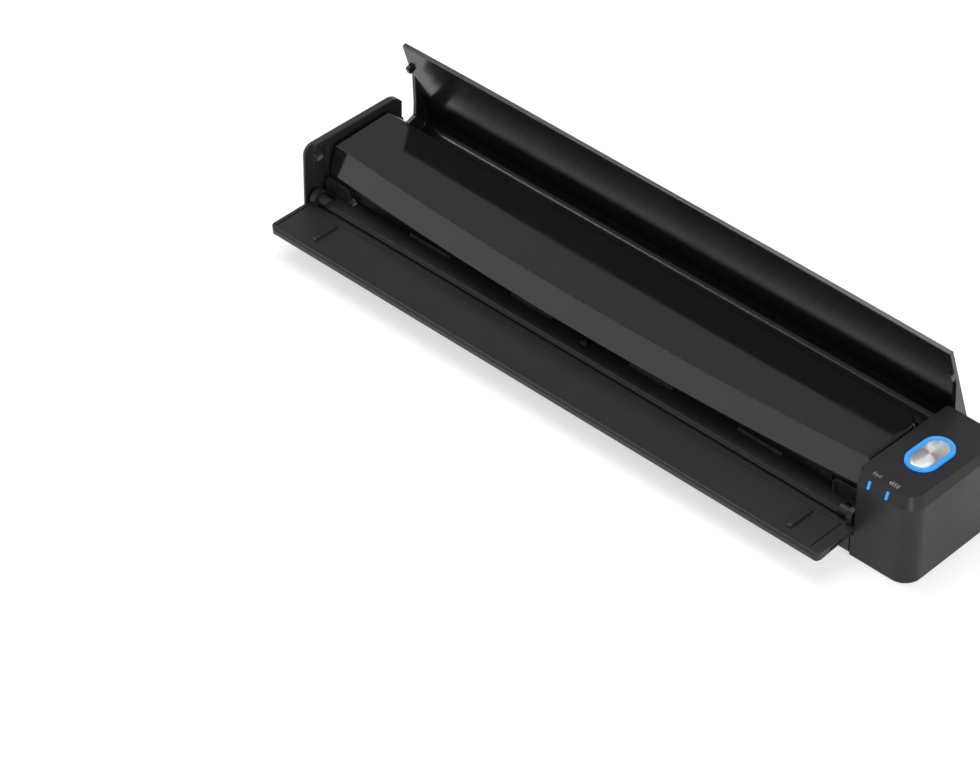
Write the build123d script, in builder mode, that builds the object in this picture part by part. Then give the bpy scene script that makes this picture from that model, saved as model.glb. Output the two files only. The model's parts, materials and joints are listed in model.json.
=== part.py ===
"""Portable document scanner: a slim bar that stands on a table. Sheets go in at the front over an
open feeding guide, pass under the top cover and come up the raised output guide at the rear.

Millimetres. X runs along the bar, Y to the rear, Z up. The origin is under the middle of the casing,
at table level. Both guides are open, as in use."""
import os
from math import asin, cos, degrees, radians, sin, tan

from build123d import *

os.makedirs("parts", exist_ok=True)

# Overall size of the closed bar
length = 273.0
depth = 47.5
height = 36.0
top_fall = 1.95  # degrees that the top slopes down to the rear
foot_proud = 0.5
cheek_width = 3.0
block_width = 24.5

# Walls and clearances
wall = 1.8
case_gap = 0.2  # between fixed casings
move_gap = 0.3  # between pieces that move past each other
pin_gap = 0.05  # radial, around a running pin or shaft
fit_gap = 0.1  # around a piece laid in a recess

# Places that follow from the overall size
left_x = -length / 2
right_x = length / 2
front_y = -depth / 2
rear_y = depth / 2
floor_z = foot_proud
cheek_x = left_x + cheek_width
seam_x = right_x - block_width
bay_left = cheek_x + case_gap
bay_right = seam_x - case_gap
bay_middle = (bay_left + bay_right) / 2

# Casing below the guides
floor_wall = 1.5
floor_top = floor_z + floor_wall
seat_top = floor_top + 1.0
front_wall_top = 9.4
rear_wall_top = height - 13.0
case_edge = 1.5
notch_width = 1.9
notch_bottom = 12.2
lug_xs = (left_x + 8.5, seam_x - 13.4)
lug_length = 8.2
lug_front = rear_y - 4.75
lug_top = height - 11.0

# Paper path
paper_z = 14.0
roller_y = depth / 4.75  # from the middle to each roller
deck_wall = 1.5
deck_rear = roller_y + 5.4
deck_front = front_y + 7.35
web_wall = 0.9
hood_top = height - 15.7
hood_front = -roller_y - 6.0
hood_rear = -roller_y - 4.2
hood_corner = 2.6
lever_y = deck_front + 1.0  # pivot of the lever in the mouth

# Side plates that carry the rollers
plate_wall = 1.5
plate_front = deck_front + 0.6
plate_rear = deck_rear + 0.4
plate_left = bay_left + 11.9
plate_right = bay_right - 13.3
plate_pitch = plate_right - plate_left
deck_left = plate_left + plate_wall + fit_gap
deck_right = plate_right - fit_gap

# Rollers
tyre_radius = 5.0
tyre_rise = 0.35
tyre_length = 20.0
shaft_radius = 2.0
tyre_xs = [bay_middle + share * plate_pitch for share in (-0.341, -0.123, 0.123, 0.341)]
bush_radius = 3.2
bush_flange = 0.6
pinch_radius = 3.0
pinch_length = 16.0
pinch_axle_radius = 1.0
pinch_gap = 0.15
roller_z = paper_z + tyre_rise - tyre_radius
pinch_z = paper_z + tyre_rise + pinch_gap + pinch_radius

# Gears
roller_teeth = 28
idler_teeth = 22
pinion_teeth = 10
gear_module = 2 * roller_y / (roller_teeth + idler_teeth)
outer_layer = (plate_left - 7.6, plate_left - 4.6)
inner_layer = (plate_left - 3.1, plate_left - 0.8)
idler_axle_radius = 0.8

# Motor, beside the front roller
motor_radius = 4.7
motor_length = 20.0
motor_shaft_radius = 0.75
motor_reach = (roller_teeth + pinion_teeth) * gear_module / 2  # from the front roller
motor_z = floor_top + 0.47 + motor_radius
motor_angle = -degrees(asin((roller_z - motor_z) / motor_reach))
motor_y = -roller_y + motor_reach * cos(radians(motor_angle))

# Feeding guide at the front
feed_hinge = (front_y + 3.5, 13.9)
feed_open = 94.0  # degrees from closed
feed_left = left_x + 1.5
feed_right = seam_x + 1.2
feed_reach = height - 0.3 - feed_hinge[1]  # from the hinge to the outer edge
feed_depth = 3.5  # from the hinge to the outer face
feed_root = 1.6  # thickness at the hinge end
feed_rim = 3.4  # thickness at the outer edge
feed_bore = 2.4  # hollow around the nose of the deck
nose_radius = 2.0
nose_left = left_x + 5.6
nose_right = seam_x - 2.7
knuckle = 4.2  # round end of the nose
ear_radius = 3.4
feed_pin_radius = 1.2
panel_left = left_x + 3.2
panel_right = seam_x - 3.5
panel_start = 4.2
panel_end = feed_reach - 2.1
panel_wall = 0.8
panel_end_gap = 0.4
ridge_width = 1.7
rebate_skin = 1.3
rebate_rear = front_y + 3.75
rebate_bottom = 9.2

# Output guide at the rear
out_hinge = (rear_y - 5.75, 16.1)
out_raise = 70.5  # degrees from closed
out_left = cheek_x + move_gap
out_right = seam_x - move_gap
out_wall = 1.6
out_skirt = 1.7
out_tip = front_y + 5.05
out_bow = 1.2
out_skirt_bottom = height - 11.7
out_side = 1.5
out_pin_radius = 1.5
out_boss_radius = 3.2
pin_in_case = 2.0

# Top cover
cover_left = out_left + out_side + 0.4
cover_right = out_right - out_side - 0.3
cover_top = height - 3.3
cover_brow = height - 13.5
cover_bottom = 16.0
cover_rear = roller_y + 5.5
cover_wall = 1.6
cover_corner = 8.0
crease_end = -roller_y - 2.4
crease_bow = 5.2
brow_lean = 2.9
mouth_y = -roller_y - 4.6
cover_hinge = (cover_rear - 3.2, cover_top - 10.1)
cover_pin_radius = 1.3

# Sensor unit in the top cover
sensor_half_depth = roller_y - 3.8
sensor_bottom = 16.8
frame_z = sensor_bottom + 7.7  # frame that carries the sensor and the pinch rollers
frame_wall = 1.5
glass_half_depth = sensor_half_depth - 1.0
glass_wall = 1.1

# Right block
block_corner = 6.5
bevel_in = 1.7
bevel_down = 4.6
block_inner_wall = 3.0
post_x = seam_x + block_inner_wall + 2.0

# Scan button and lights
button_x = right_x - 12.45
button_y = -0.3
ring_width = 11.4
ring_length = 19.6
ring_band = 1.2
ring_proud = 1.1
button_travel = 0.6
cap_proud = 0.7
light_xs = (right_x - 18.9, right_x - 11.5)
light_width = 1.3
light_bottom = height - 4.8
light_top = height - 1.5

# Electronics in the block
board_z = height - 9.8
board_wall = 1.6
board_top = board_z + board_wall
switch_z = board_z + 3.1  # middle of the two rear controls
setup_x = right_x - 17.9

# Screws
screw_radius = 0.9
screw_head = 1.9


def top_z(y):
    """Height of the closed bar's sloping top at depth y."""
    return height - (y - front_y) * tan(radians(top_fall))


def section(x):
    """A plane across the bar at x, drawn with Y to the right and Z up."""
    return Plane(origin=(x, 0, 0), x_dir=(0, 1, 0), z_dir=(1, 0, 0))


def turned(x, hinge, angle):
    """A plane across the bar at x with its origin on a hinge, turned about it."""
    turn = radians(angle)
    return Plane(origin=(x, hinge[0], hinge[1]), x_dir=(0, cos(turn), sin(turn)), z_dir=(1, 0, 0))


def turned_plan(hinge, angle):
    """A plane seen from above the closed guide, with its origin on the hinge, turned about it."""
    turn = radians(angle)
    return Plane(origin=(0, hinge[0], hinge[1]), x_dir=(1, 0, 0), z_dir=(0, -sin(turn), cos(turn)))


def about(hinge, *points):
    """Points of the closed bar's cross-section, measured from a hinge."""
    return [(y - hinge[0], z - hinge[1]) for y, z in points]


def prism(plane, width, *points, mode=Mode.ADD):
    """A piece of constant cross-section, drawn on a plane."""
    with BuildSketch(plane) as outline:
        with BuildLine():
            Polyline(*points, close=True)
        make_face()
    extrude(outline.sketch, amount=width, mode=mode)


def box(xs, ys, zs, mode=Mode.ADD):
    """A box between two places on each axis."""
    with Locations((xs[0], ys[0], zs[0])):
        Box(xs[1] - xs[0], ys[1] - ys[0], zs[1] - zs[0], align=(Align.MIN,) * 3, mode=mode)


def rod(x1, x2, centre, radius, mode=Mode.ADD):
    """A round bar along X. centre is (Y, Z)."""
    with BuildSketch(turned(x1, centre, 0)) as disc:
        Circle(radius)
    extrude(disc.sketch, amount=x2 - x1, mode=mode)


def post(x, y, z1, z2, radius, mode=Mode.ADD):
    """A round upright."""
    with BuildSketch(Plane.XY.offset(z1)) as disc:
        with Locations((x, y)):
            Circle(radius)
    extrude(disc.sketch, amount=z2 - z1, mode=mode)


def cut_above_top(x1, x2, sink):
    """Cut away what stands above the sloping top, lowered by sink."""
    y1, y2 = front_y - 2, rear_y + 2
    prism(
        section(x1),
        x2 - x1,
        (y1, top_z(y1) - sink),
        (y2, top_z(y2) - sink),
        (y2, height + 8),
        (y1, height + 8),
        mode=Mode.SUBTRACT,
    )


def corner(sketch, y, z):
    """The corner of a cross-section that lies nearest to (y, z)."""
    return sketch.vertices().sort_by_distance((y, z, 0))[0]


def gear_outline(teeth, phase):
    """A spur gear with straight-sided teeth. phase is the angle of the middle of one tooth."""
    pitch_radius = gear_module * teeth / 2
    root = pitch_radius - 1.2 * gear_module
    tip = pitch_radius + 0.85 * gear_module
    pitch = 360 / teeth
    half = pitch * 0.21
    corners = ((root, -1.45), (pitch_radius, -1.0), (tip, -0.5), (tip, 0.5), (pitch_radius, 1.0), (root, 1.45))
    points = []
    for tooth in range(teeth):
        for radius, share in corners:
            angle = radians(phase + tooth * pitch + share * half)
            points.append((radius * cos(angle), radius * sin(angle)))
    with BuildLine() as outline:
        Polyline(*points, close=True)
    make_face(outline.edges())


def gear_layer(layer, centre, teeth, phase):
    """One toothed layer of a gear on the shaft at centre."""
    with BuildSketch(turned(layer[0], centre, 0)) as outline:
        gear_outline(teeth, phase)
    extrude(outline.sketch, amount=layer[1] - layer[0])


def screw_down(x, y):
    """A screw that comes up through the floor into a post."""
    post(x, y, floor_z + 0.2, floor_z + 1.3, screw_head)
    post(x, y, floor_z + 1.3, 9.5, screw_radius)
    post(x, y, floor_z + 0.2, floor_z + 0.7, 0.7, mode=Mode.SUBTRACT)


front_shaft = (-roller_y, roller_z)
rear_shaft = (roller_y, roller_z)
front_pinch = (-roller_y, pinch_z)
rear_pinch = (roller_y, pinch_z)
motor_centre = (motor_y, motor_z)
post_y = rear_y - 5.25
deck_screws = [(bay_middle + share * plate_pitch, 0.0) for share in (-0.273, 0.0, 0.273)]
floor_screws = [*deck_screws, (post_x, -post_y), (post_x, post_y)]
cheek_screws = ((-11.5, 5.5), (11.5, 5.5))
cover_screw_xs = [bay_middle + share * plate_pitch for share in (-0.4185, 0.0, 0.4185)]
cover_screws = [(x, y) for x in cover_screw_xs for y in (0.5 - roller_y, roller_y - 0.5)]
foot_places = [
    (left_x + 12.5, front_y + 7.25),
    (left_x + 12.5, rear_y - 7.25),
    (right_x - 10.5, front_y + 8.25),
    (right_x - 10.5, rear_y - 8.25),
    (0.0, 0.0),
]


# Left cheek: the end plate that both guides and the top cover hang from
with BuildPart() as left_cheek:
    with BuildSketch(section(left_x)) as cheek_outline:
        with BuildLine():
            Polyline(
                (front_y, floor_z),
                (front_y, height),
                (rear_y, top_z(rear_y)),
                (rear_y, floor_z),
                close=True,
            )
        make_face()
        fillet([corner(cheek_outline, front_y, floor_z), corner(cheek_outline, rear_y, floor_z)], case_edge)
        fillet(corner(cheek_outline, front_y, height), 4.0)
        fillet(corner(cheek_outline, rear_y, height), 6.0)
    extrude(amount=cheek_width)
    fillet(left_cheek.faces().sort_by(Axis.X)[0].edges(), 0.7)
    # rebate for the end of the feeding guide, and the step behind it
    box((left_x + rebate_skin, 0), (front_y - 5, rebate_rear), (rebate_bottom, 50), mode=Mode.SUBTRACT)
    box((cheek_x - 1, 0), (front_y, front_y + 9.75), (rebate_bottom, height - 3), mode=Mode.SUBTRACT)
    # finger recess at the rear edge
    box((left_x - 1, 0), (rear_y - 0.8, rear_y + 1), (height - 12, height - 5), mode=Mode.SUBTRACT)
    # catch for the closed feeding guide
    with BuildSketch(section(cheek_x - 1)):
        with Locations((front_y + 6.05, height - 7.0)):
            RectangleRounded(3.6, 3.4, 0.5)
    extrude(amount=0.8)
    # sockets for the hinge pins and holes for the two screws
    rod(cheek_x - pin_in_case, 0, out_hinge, out_pin_radius + pin_gap, mode=Mode.SUBTRACT)
    rod(cheek_x - pin_in_case, 0, cover_hinge, cover_pin_radius + pin_gap, mode=Mode.SUBTRACT)
    for place in cheek_screws:
        rod(cheek_x - 2.2, 0, place, screw_radius, mode=Mode.SUBTRACT)
left_cheek.part.label = "left_cheek"
export_step(left_cheek.part, "parts/left_cheek.step")

# Base casing: floor, low front wall, rear wall and the floor of the right block
with BuildPart() as base_casing:
    with BuildSketch(section(bay_left)) as base_outline:
        with BuildLine():
            Polyline(
                (front_y, front_wall_top),
                (front_y, floor_z),
                (rear_y, floor_z),
                (rear_y, rear_wall_top),
                (rear_y - wall, rear_wall_top),
                (rear_y - wall, floor_top),
                (front_y + wall, floor_top),
                (front_y + wall, front_wall_top),
                close=True,
            )
        make_face()
        fillet([corner(base_outline, front_y, floor_z), corner(base_outline, rear_y, floor_z)], case_edge)
        fillet([corner(base_outline, rear_y, rear_wall_top), corner(base_outline, front_y, front_wall_top)], 0.7)
    extrude(amount=bay_right - bay_left)
    # floor of the right block
    with BuildSketch(Plane.XY.offset(floor_z)) as block_floor:
        with Locations((bay_right - 1, 0)):
            Rectangle(right_x - 2.0 - bay_right + 1, depth - 2 * wall - 0.4, align=(Align.MIN, Align.CENTER))
        fillet(block_floor.vertices().group_by(Axis.X)[-1], block_corner - wall)
    extrude(amount=floor_wall)
    # notches through which the arms of the output guide swing
    for x in (bay_left, bay_right - notch_width):
        box((x, x + notch_width), (rear_y - wall - 1, rear_y + 1), (notch_bottom, 50), mode=Mode.SUBTRACT)
    # uprights behind the rear corners of the top cover
    for x in lug_xs:
        box((x, x + lug_length), (lug_front, rear_y - wall + 0.5), (floor_z + 0.5, rear_wall_top - 0.6))
        box((x, x + lug_length), (lug_front, rear_y - 2.1), (rear_wall_top - 1, lug_top))
    # ends that are screwed to the cheek
    for y, z in cheek_screws:
        box((cheek_x, cheek_x + 2), (y - 2.5, y + 2.5), (floor_z + 0.7, z + 2.7))
        rod(cheek_x - 1, cheek_x + 3, (y, z), screw_radius + 0.15, mode=Mode.SUBTRACT)
    # seats and counterbored holes for the screws, and recesses for the feet
    for x, y in floor_screws:
        post(x, y, floor_z + 0.5, seat_top, 3.4)
    for x, y in floor_screws:
        post(x, y, 0, 9, screw_radius + 0.15, mode=Mode.SUBTRACT)
        post(x, y, 0, floor_z + 1.3, screw_head + 0.2, mode=Mode.SUBTRACT)
    # recesses for the feet and a shallow recess for a label
    for x, y in foot_places:
        if x:
            post(x, y, 0, 1.2, 4.1, mode=Mode.SUBTRACT)
        else:
            box((x - 6, x + 6), (y - 3, y + 3), (0, 1.2), mode=Mode.SUBTRACT)
    box((seam_x - 57, seam_x - 17), (-11, 11), (0, floor_z + 0.3), mode=Mode.SUBTRACT)
base_casing.part.label = "base_casing"
export_step(base_casing.part, "parts/base_casing.step")

# Rubber feet: four round ones at the corners and a bar in the middle
with BuildPart() as rubber_feet:
    for x, y in foot_places:
        if x:
            post(x, y, 0, 1.2, 4.0)
        else:
            box((x - 5.9, x + 5.9), (y - 2.9, y + 2.9), (0, 1.2))
    chamfer(rubber_feet.faces().group_by(Axis.Z)[0].edges(), 0.25)
rubber_feet.part.label = "rubber_feet"
export_step(rubber_feet.part, "parts/rubber_feet.step")

# Right block: the casing of the controls, open below
block_middle_x = (seam_x + right_x) / 2
with BuildPart() as right_block:
    with BuildSketch(Plane.XY.offset(height - bevel_down)) as bevel_plan:
        with Locations((right_x, front_y)):
            Rectangle(block_width + 5, depth + 5, align=(Align.MAX, Align.MIN))
        fillet(bevel_plan.vertices().group_by(Axis.X)[-1].sort_by(Axis.Y)[0], block_corner)
    extrude(amount=bevel_down, taper=20.28)
    with BuildSketch(Plane.XY.offset(floor_z)) as bevel_plan_below:
        with Locations((right_x, front_y)):
            Rectangle(block_width + 5, depth + 5, align=(Align.MAX, Align.MIN))
        fillet(bevel_plan_below.vertices().group_by(Axis.X)[-1].sort_by(Axis.Y)[0], block_corner)
    extrude(amount=height - bevel_down - floor_z)
    with BuildSketch(Plane.XY) as block_plan:
        with Locations((block_middle_x, 0)):
            Rectangle(block_width, depth)
        fillet(block_plan.vertices().group_by(Axis.X)[-1].sort_by(Axis.Y)[-1], block_corner)
        fillet(corner(block_plan, seam_x, rear_y), 0.6)
        fillet(corner(block_plan, seam_x, front_y), 0.6)
    extrude(amount=height + 1, mode=Mode.INTERSECT)
    cut_above_top(seam_x - 1, right_x + 1, 0)
    # the hollow
    with BuildSketch(Plane.XY) as hollow_plan:
        with Locations((seam_x + block_inner_wall, 0)):
            Rectangle(
                block_width - block_inner_wall - wall,
                depth - 2 * wall,
                align=(Align.MIN, Align.CENTER),
            )
        fillet(hollow_plan.vertices().group_by(Axis.X)[-1], block_corner - wall)
    extrude(amount=height - 5, mode=Mode.SUBTRACT)
    with BuildSketch(Plane.XY.offset(height - 6)) as hollow_top:
        with Locations((seam_x + block_inner_wall, 0)):
            Rectangle(block_width - block_inner_wall - 3.6, depth - 7.2, align=(Align.MIN, Align.CENTER))
        fillet(hollow_top.vertices().group_by(Axis.X)[-1], 3.0)
    extrude(amount=2.4, mode=Mode.SUBTRACT)
    # rebate for the end of the feeding guide
    box((seam_x - 1, feed_right + 0.3), (front_y - 5, rebate_rear), (rebate_bottom, 50), mode=Mode.SUBTRACT)
    # passage for the floor of the casing
    box((seam_x - 1, seam_x + 4), (front_y + 1.7, rear_y - 1.7), (0, seat_top + 0.2), mode=Mode.SUBTRACT)
    # posts that carry the board and take the screws from below
    for y in (-post_y, post_y):
        post(post_x, y, seat_top, board_z, 2.4)
    for y in (-post_y, post_y):
        post(post_x, y, 0, 12, screw_radius, mode=Mode.SUBTRACT)
    # window of the scan button and slots of the two lights
    with BuildSketch(Plane.XY.offset(height - 5)) as window:
        with Locations((button_x, button_y)):
            SlotOverall(ring_length + 2 * fit_gap, ring_width + 2 * fit_gap, rotation=90)
    extrude(amount=6, mode=Mode.SUBTRACT)
    for x in light_xs:
        box(
            (x - light_width / 2 - pin_gap, x + light_width / 2 + pin_gap),
            (front_y - 1, front_y + 4.95),
            (light_bottom, light_top),
            mode=Mode.SUBTRACT,
        )
    # openings at the rear for the data socket, the wireless switch and the setup button
    with BuildSketch(Plane.XZ.offset(-rear_y - 1)) as rear_openings:
        with Locations((right_x - 11.9, board_z - 1.5)):
            RectangleRounded(7.9, 3.2, 0.6)
        with Locations((right_x - 7.9, switch_z)):
            RectangleRounded(6.4, 1.9, 0.5)
        with Locations((setup_x, switch_z)):
            Circle(1.4)
    extrude(amount=4, mode=Mode.SUBTRACT)
    # sockets for the hinge pins
    rod(seam_x - 1, seam_x + pin_in_case, out_hinge, out_pin_radius + pin_gap, mode=Mode.SUBTRACT)
    rod(seam_x - 1, seam_x + pin_in_case, cover_hinge, cover_pin_radius + pin_gap, mode=Mode.SUBTRACT)
right_block.part.label = "right_block"
export_step(right_block.part, "parts/right_block.step")


def hood_outline(x1, x2, y, inset):
    """Round-cornered outline of a hood between x1 and x2, seen from the front."""
    with BuildSketch(Plane.XZ.offset(-y)) as hood:
        with Locations(((x1 + x2) / 2, paper_z - 0.1 + inset * 0.1)):
            Rectangle(
                x2 - x1 - 2 * inset,
                hood_top - paper_z + 0.1 - 1.1 * inset,
                align=(Align.CENTER, Align.MIN),
            )
        fillet(hood.vertices().group_by(Axis.Y)[-1], hood_corner - 0.8 * inset)
    return hood.sketch


# Paper deck: the plate that sheets slide over, and the nose that carries the feeding guide
with BuildPart() as paper_deck:
    box((deck_left, deck_right), (deck_front - 0.5, deck_rear), (paper_z - deck_wall, paper_z))
    flat_left, flat_right = nose_left + knuckle, nose_right - knuckle
    box((flat_left, flat_right), (feed_hinge[0], deck_front), (paper_z - web_wall, paper_z))
    rod(nose_left, nose_right, feed_hinge, nose_radius)
    box((flat_left, flat_right), (front_y - 1, deck_front), (paper_z, 17), mode=Mode.SUBTRACT)
    # sloping front edge of the nose
    prism(
        section(flat_left),
        flat_right - flat_left,
        (feed_hinge[0] - 0.5, paper_z + 0.06),
        (feed_hinge[0] - 2.2, paper_z - 2.05),
        (feed_hinge[0] - 3.0, paper_z - 2.05),
        (feed_hinge[0] - 3.0, paper_z + 0.06),
        mode=Mode.SUBTRACT,
    )
    # rounded hoods that close both ends of the paper mouth, each on a ledge
    ledge_ys = (deck_front - 0.1, hood_rear - 0.7)
    box((left_x + 3.3, plate_left - 0.2), ledge_ys, (paper_z - web_wall, paper_z))
    box((deck_right - 0.1, seam_x - move_gap), ledge_ys, (paper_z - web_wall, paper_z))
    for x1, x2 in ((left_x + 3.3, plate_left - 0.2), (plate_right - 0.9, seam_x - move_gap)):
        extrude(hood_outline(x1, x2, hood_front, 0), amount=hood_front - hood_rear)
        extrude(hood_outline(x1, x2, hood_front, 1.0), amount=-0.8, mode=Mode.SUBTRACT)
    # windows for the tyres and the slot for the document lever
    for x in tyre_xs:
        for y in (-roller_y, roller_y):
            box(
                (x - tyre_length / 2 - 0.6, x + tyre_length / 2 + 0.6),
                (y - 4.4, y + 4.4),
                (paper_z - deck_wall - 1, paper_z + 1),
                mode=Mode.SUBTRACT,
            )
    box((bay_middle - 1.6, bay_middle + 1.6), (deck_front - 1.4, deck_front + 5.1), (10, 17), mode=Mode.SUBTRACT)
    # posts down to the floor, and hangers for the lever's pin
    for x, y in deck_screws:
        post(x, y, seat_top, paper_z - deck_wall, 2.4)
        post(x, y, 0, 9.9, screw_radius, mode=Mode.SUBTRACT)
    for x in (bay_middle - 4.6, bay_middle + 3.0):
        box((x, x + 1.6), (lever_y - 1.3, lever_y + 1.4), (6.9, paper_z - deck_wall + 0.2))
    rod(bay_middle - 5, bay_middle + 5, (lever_y, 8.5), 0.8, mode=Mode.SUBTRACT)
    # sockets for the pins of the feeding guide
    rod(nose_left - 1, nose_left + 4, feed_hinge, feed_pin_radius + pin_gap, mode=Mode.SUBTRACT)
    rod(nose_right - 4, nose_right + 1, feed_hinge, feed_pin_radius + pin_gap, mode=Mode.SUBTRACT)
paper_deck.part.label = "paper_deck"
export_step(paper_deck.part, "parts/paper_deck.step")

# White backing strip under the sensor
with BuildPart() as backing_plate:
    half = glass_half_depth - 0.7
    box((deck_left + 0.8, deck_right - 0.8), (-half, half), (paper_z, paper_z + 0.6))
    chamfer(backing_plate.faces().sort_by(Axis.Z)[-1].edges().filter_by(Axis.X), 0.4)
backing_plate.part.label = "backing_plate"
export_step(backing_plate.part, "parts/backing_plate.step")

# Exit ramp: the curved wall that turns sheets up behind the rear rollers
ramp_front = deck_rear + 0.2
ramp_rear = rear_y - wall - fit_gap
ramp_foot = (ramp_front, 13.9)
ramp_top = (rear_y - 3.15, rear_wall_top)
with BuildPart() as exit_ramp:
    with BuildSketch(section(deck_left)) as ramp_outline:
        with BuildLine():
            Polyline(ramp_top, (ramp_rear, rear_wall_top), (ramp_rear, 12.5), (ramp_front, 12.5), ramp_foot)
            ThreePointArc(ramp_foot, (ramp_top[0] - 1.0, 8.25 + 0.4066 * rear_wall_top), ramp_top)
        make_face()
    extrude(amount=deck_right - deck_left)
    for x in lug_xs:
        box((x - 0.3, x + lug_length + 0.3), (lug_front - 0.3, rear_y), (10, 30), mode=Mode.SUBTRACT)
exit_ramp.part.label = "exit_ramp"
export_step(exit_ramp.part, "parts/exit_ramp.step")


def side_plate_outline():
    """The upright plate that carries the roller shafts."""
    with BuildLine() as outline:
        Polyline(
            (plate_front, floor_top),
            (plate_front, paper_z - 2.0),
            (plate_front + 2.0, paper_z),
            (plate_rear, paper_z),
            (plate_rear, floor_top),
            close=True,
        )
    make_face(outline.edges())
    with Locations(front_shaft, rear_shaft):
        Circle(bush_radius, mode=Mode.SUBTRACT)


# Left side plate: also carries the motor and the axle of the idler gear
with BuildPart() as left_side_plate:
    with BuildSketch(section(plate_left)):
        side_plate_outline()
        with Locations(motor_centre):
            Circle(1.5, mode=Mode.SUBTRACT)
        with Locations((0, roller_z)):
            Circle(idler_axle_radius, mode=Mode.SUBTRACT)
    extrude(amount=plate_wall)
left_side_plate.part.label = "left_side_plate"
export_step(left_side_plate.part, "parts/left_side_plate.step")

# Right side plate
with BuildPart() as right_side_plate:
    with BuildSketch(section(plate_right)):
        side_plate_outline()
        with Locations((0, 8.0)):
            SlotOverall(9, 5, mode=Mode.SUBTRACT)
    extrude(amount=plate_wall)
right_side_plate.part.label = "right_side_plate"
export_step(right_side_plate.part, "parts/right_side_plate.step")

# Bushes of the roller shafts: one in each side plate, front and rear
with BuildPart() as shaft_bushes:
    for centre in (front_shaft, rear_shaft):
        rod(plate_left - bush_flange, plate_left, centre, bush_radius + 0.6)
        rod(plate_left, plate_left + plate_wall, centre, bush_radius)
        rod(plate_right, plate_right + plate_wall, centre, bush_radius)
        rod(plate_right + plate_wall, plate_right + plate_wall + bush_flange, centre, bush_radius + 0.6)
    for centre in (front_shaft, rear_shaft):
        rod(cheek_x, seam_x, centre, shaft_radius + pin_gap, mode=Mode.SUBTRACT)
shaft_bushes.part.label = "shaft_bushes"
export_step(shaft_bushes.part, "parts/shaft_bushes.step")


def roller_shaft(centre):
    """A steel shaft with chamfered ends."""
    rod(outer_layer[0] - 0.3, plate_right + plate_wall + 1.5, centre, shaft_radius)


def tyres(centre):
    """The four rubber tyres of one shaft."""
    for x in tyre_xs:
        rod(x - tyre_length / 2, x + tyre_length / 2, centre, tyre_radius)
    for x in tyre_xs:
        rod(x - tyre_length / 2 - 1, x + tyre_length / 2 + 1, centre, shaft_radius, mode=Mode.SUBTRACT)


# Front roller, which feeds: shaft, tyres and the gear that the motor drives
with BuildPart() as feed_shaft:
    roller_shaft(front_shaft)
    chamfer(feed_shaft.edges().filter_by(GeomType.CIRCLE), 0.4)
feed_shaft.part.label = "feed_shaft"
export_step(feed_shaft.part, "parts/feed_shaft.step")

with BuildPart() as feed_tyres:
    tyres(front_shaft)
    chamfer(feed_tyres.edges().filter_by(GeomType.CIRCLE).group_by(SortBy.RADIUS)[-1], 0.4)
feed_tyres.part.label = "feed_tyres"
export_step(feed_tyres.part, "parts/feed_tyres.step")

with BuildPart() as feed_gear:
    gear_layer(outer_layer, front_shaft, roller_teeth, 0)
    gear_layer(inner_layer, front_shaft, roller_teeth, 0)
    rod(outer_layer[1], inner_layer[0], front_shaft, 4.4)
    rod(cheek_x, plate_left, front_shaft, shaft_radius, mode=Mode.SUBTRACT)
feed_gear.part.label = "feed_gear"
export_step(feed_gear.part, "parts/feed_gear.step")

# Rear roller, which ejects
with BuildPart() as eject_shaft:
    roller_shaft(rear_shaft)
    chamfer(eject_shaft.edges().filter_by(GeomType.CIRCLE), 0.4)
eject_shaft.part.label = "eject_shaft"
export_step(eject_shaft.part, "parts/eject_shaft.step")

with BuildPart() as eject_tyres:
    tyres(rear_shaft)
    chamfer(eject_tyres.edges().filter_by(GeomType.CIRCLE).group_by(SortBy.RADIUS)[-1], 0.4)
eject_tyres.part.label = "eject_tyres"
export_step(eject_tyres.part, "parts/eject_tyres.step")

with BuildPart() as eject_gear:
    gear_layer(outer_layer, rear_shaft, roller_teeth, 180)
    rod(outer_layer[1], inner_layer[1], rear_shaft, 3.4)
    rod(cheek_x, plate_left, rear_shaft, shaft_radius, mode=Mode.SUBTRACT)
eject_gear.part.label = "eject_gear"
export_step(eject_gear.part, "parts/eject_gear.step")

# Idler gear between the two rollers, and its fixed axle
with BuildPart() as idler_gear:
    gear_layer(outer_layer, (0, roller_z), idler_teeth, 180 / idler_teeth)
    rod(outer_layer[1], inner_layer[0] - 0.2, (0, roller_z), 1.6)
    rod(cheek_x, plate_left, (0, roller_z), idler_axle_radius + pin_gap, mode=Mode.SUBTRACT)
idler_gear.part.label = "idler_gear"
export_step(idler_gear.part, "parts/idler_gear.step")

with BuildPart() as idler_axle:
    rod(outer_layer[0] - 0.9, plate_left + plate_wall, (0, roller_z), idler_axle_radius)
    rod(outer_layer[0] - 0.9, outer_layer[0] - 0.3, (0, roller_z), 1.7)
idler_axle.part.label = "idler_axle"
export_step(idler_axle.part, "parts/idler_axle.step")

# Motor, and its shaft with the pinion
motor_x = plate_left + plate_wall
with BuildPart() as motor_can:
    rod(motor_x, motor_x + motor_length, motor_centre, motor_radius)
    chamfer(motor_can.edges().filter_by(GeomType.CIRCLE), 0.4)
    rod(motor_x + motor_length, motor_x + motor_length + 0.8, motor_centre, 2.0)
    for side in (-3.2, 3.2):
        box(
            (motor_x + motor_length, motor_x + motor_length + 1.8),
            (motor_y + side - 0.6, motor_y + side + 0.6),
            (motor_z - 0.15, motor_z + 0.15),
        )
    rod(motor_x - 1, motor_x + 6, motor_centre, motor_shaft_radius + pin_gap, mode=Mode.SUBTRACT)
motor_can.part.label = "motor_can"
export_step(motor_can.part, "parts/motor_can.step")

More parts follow.
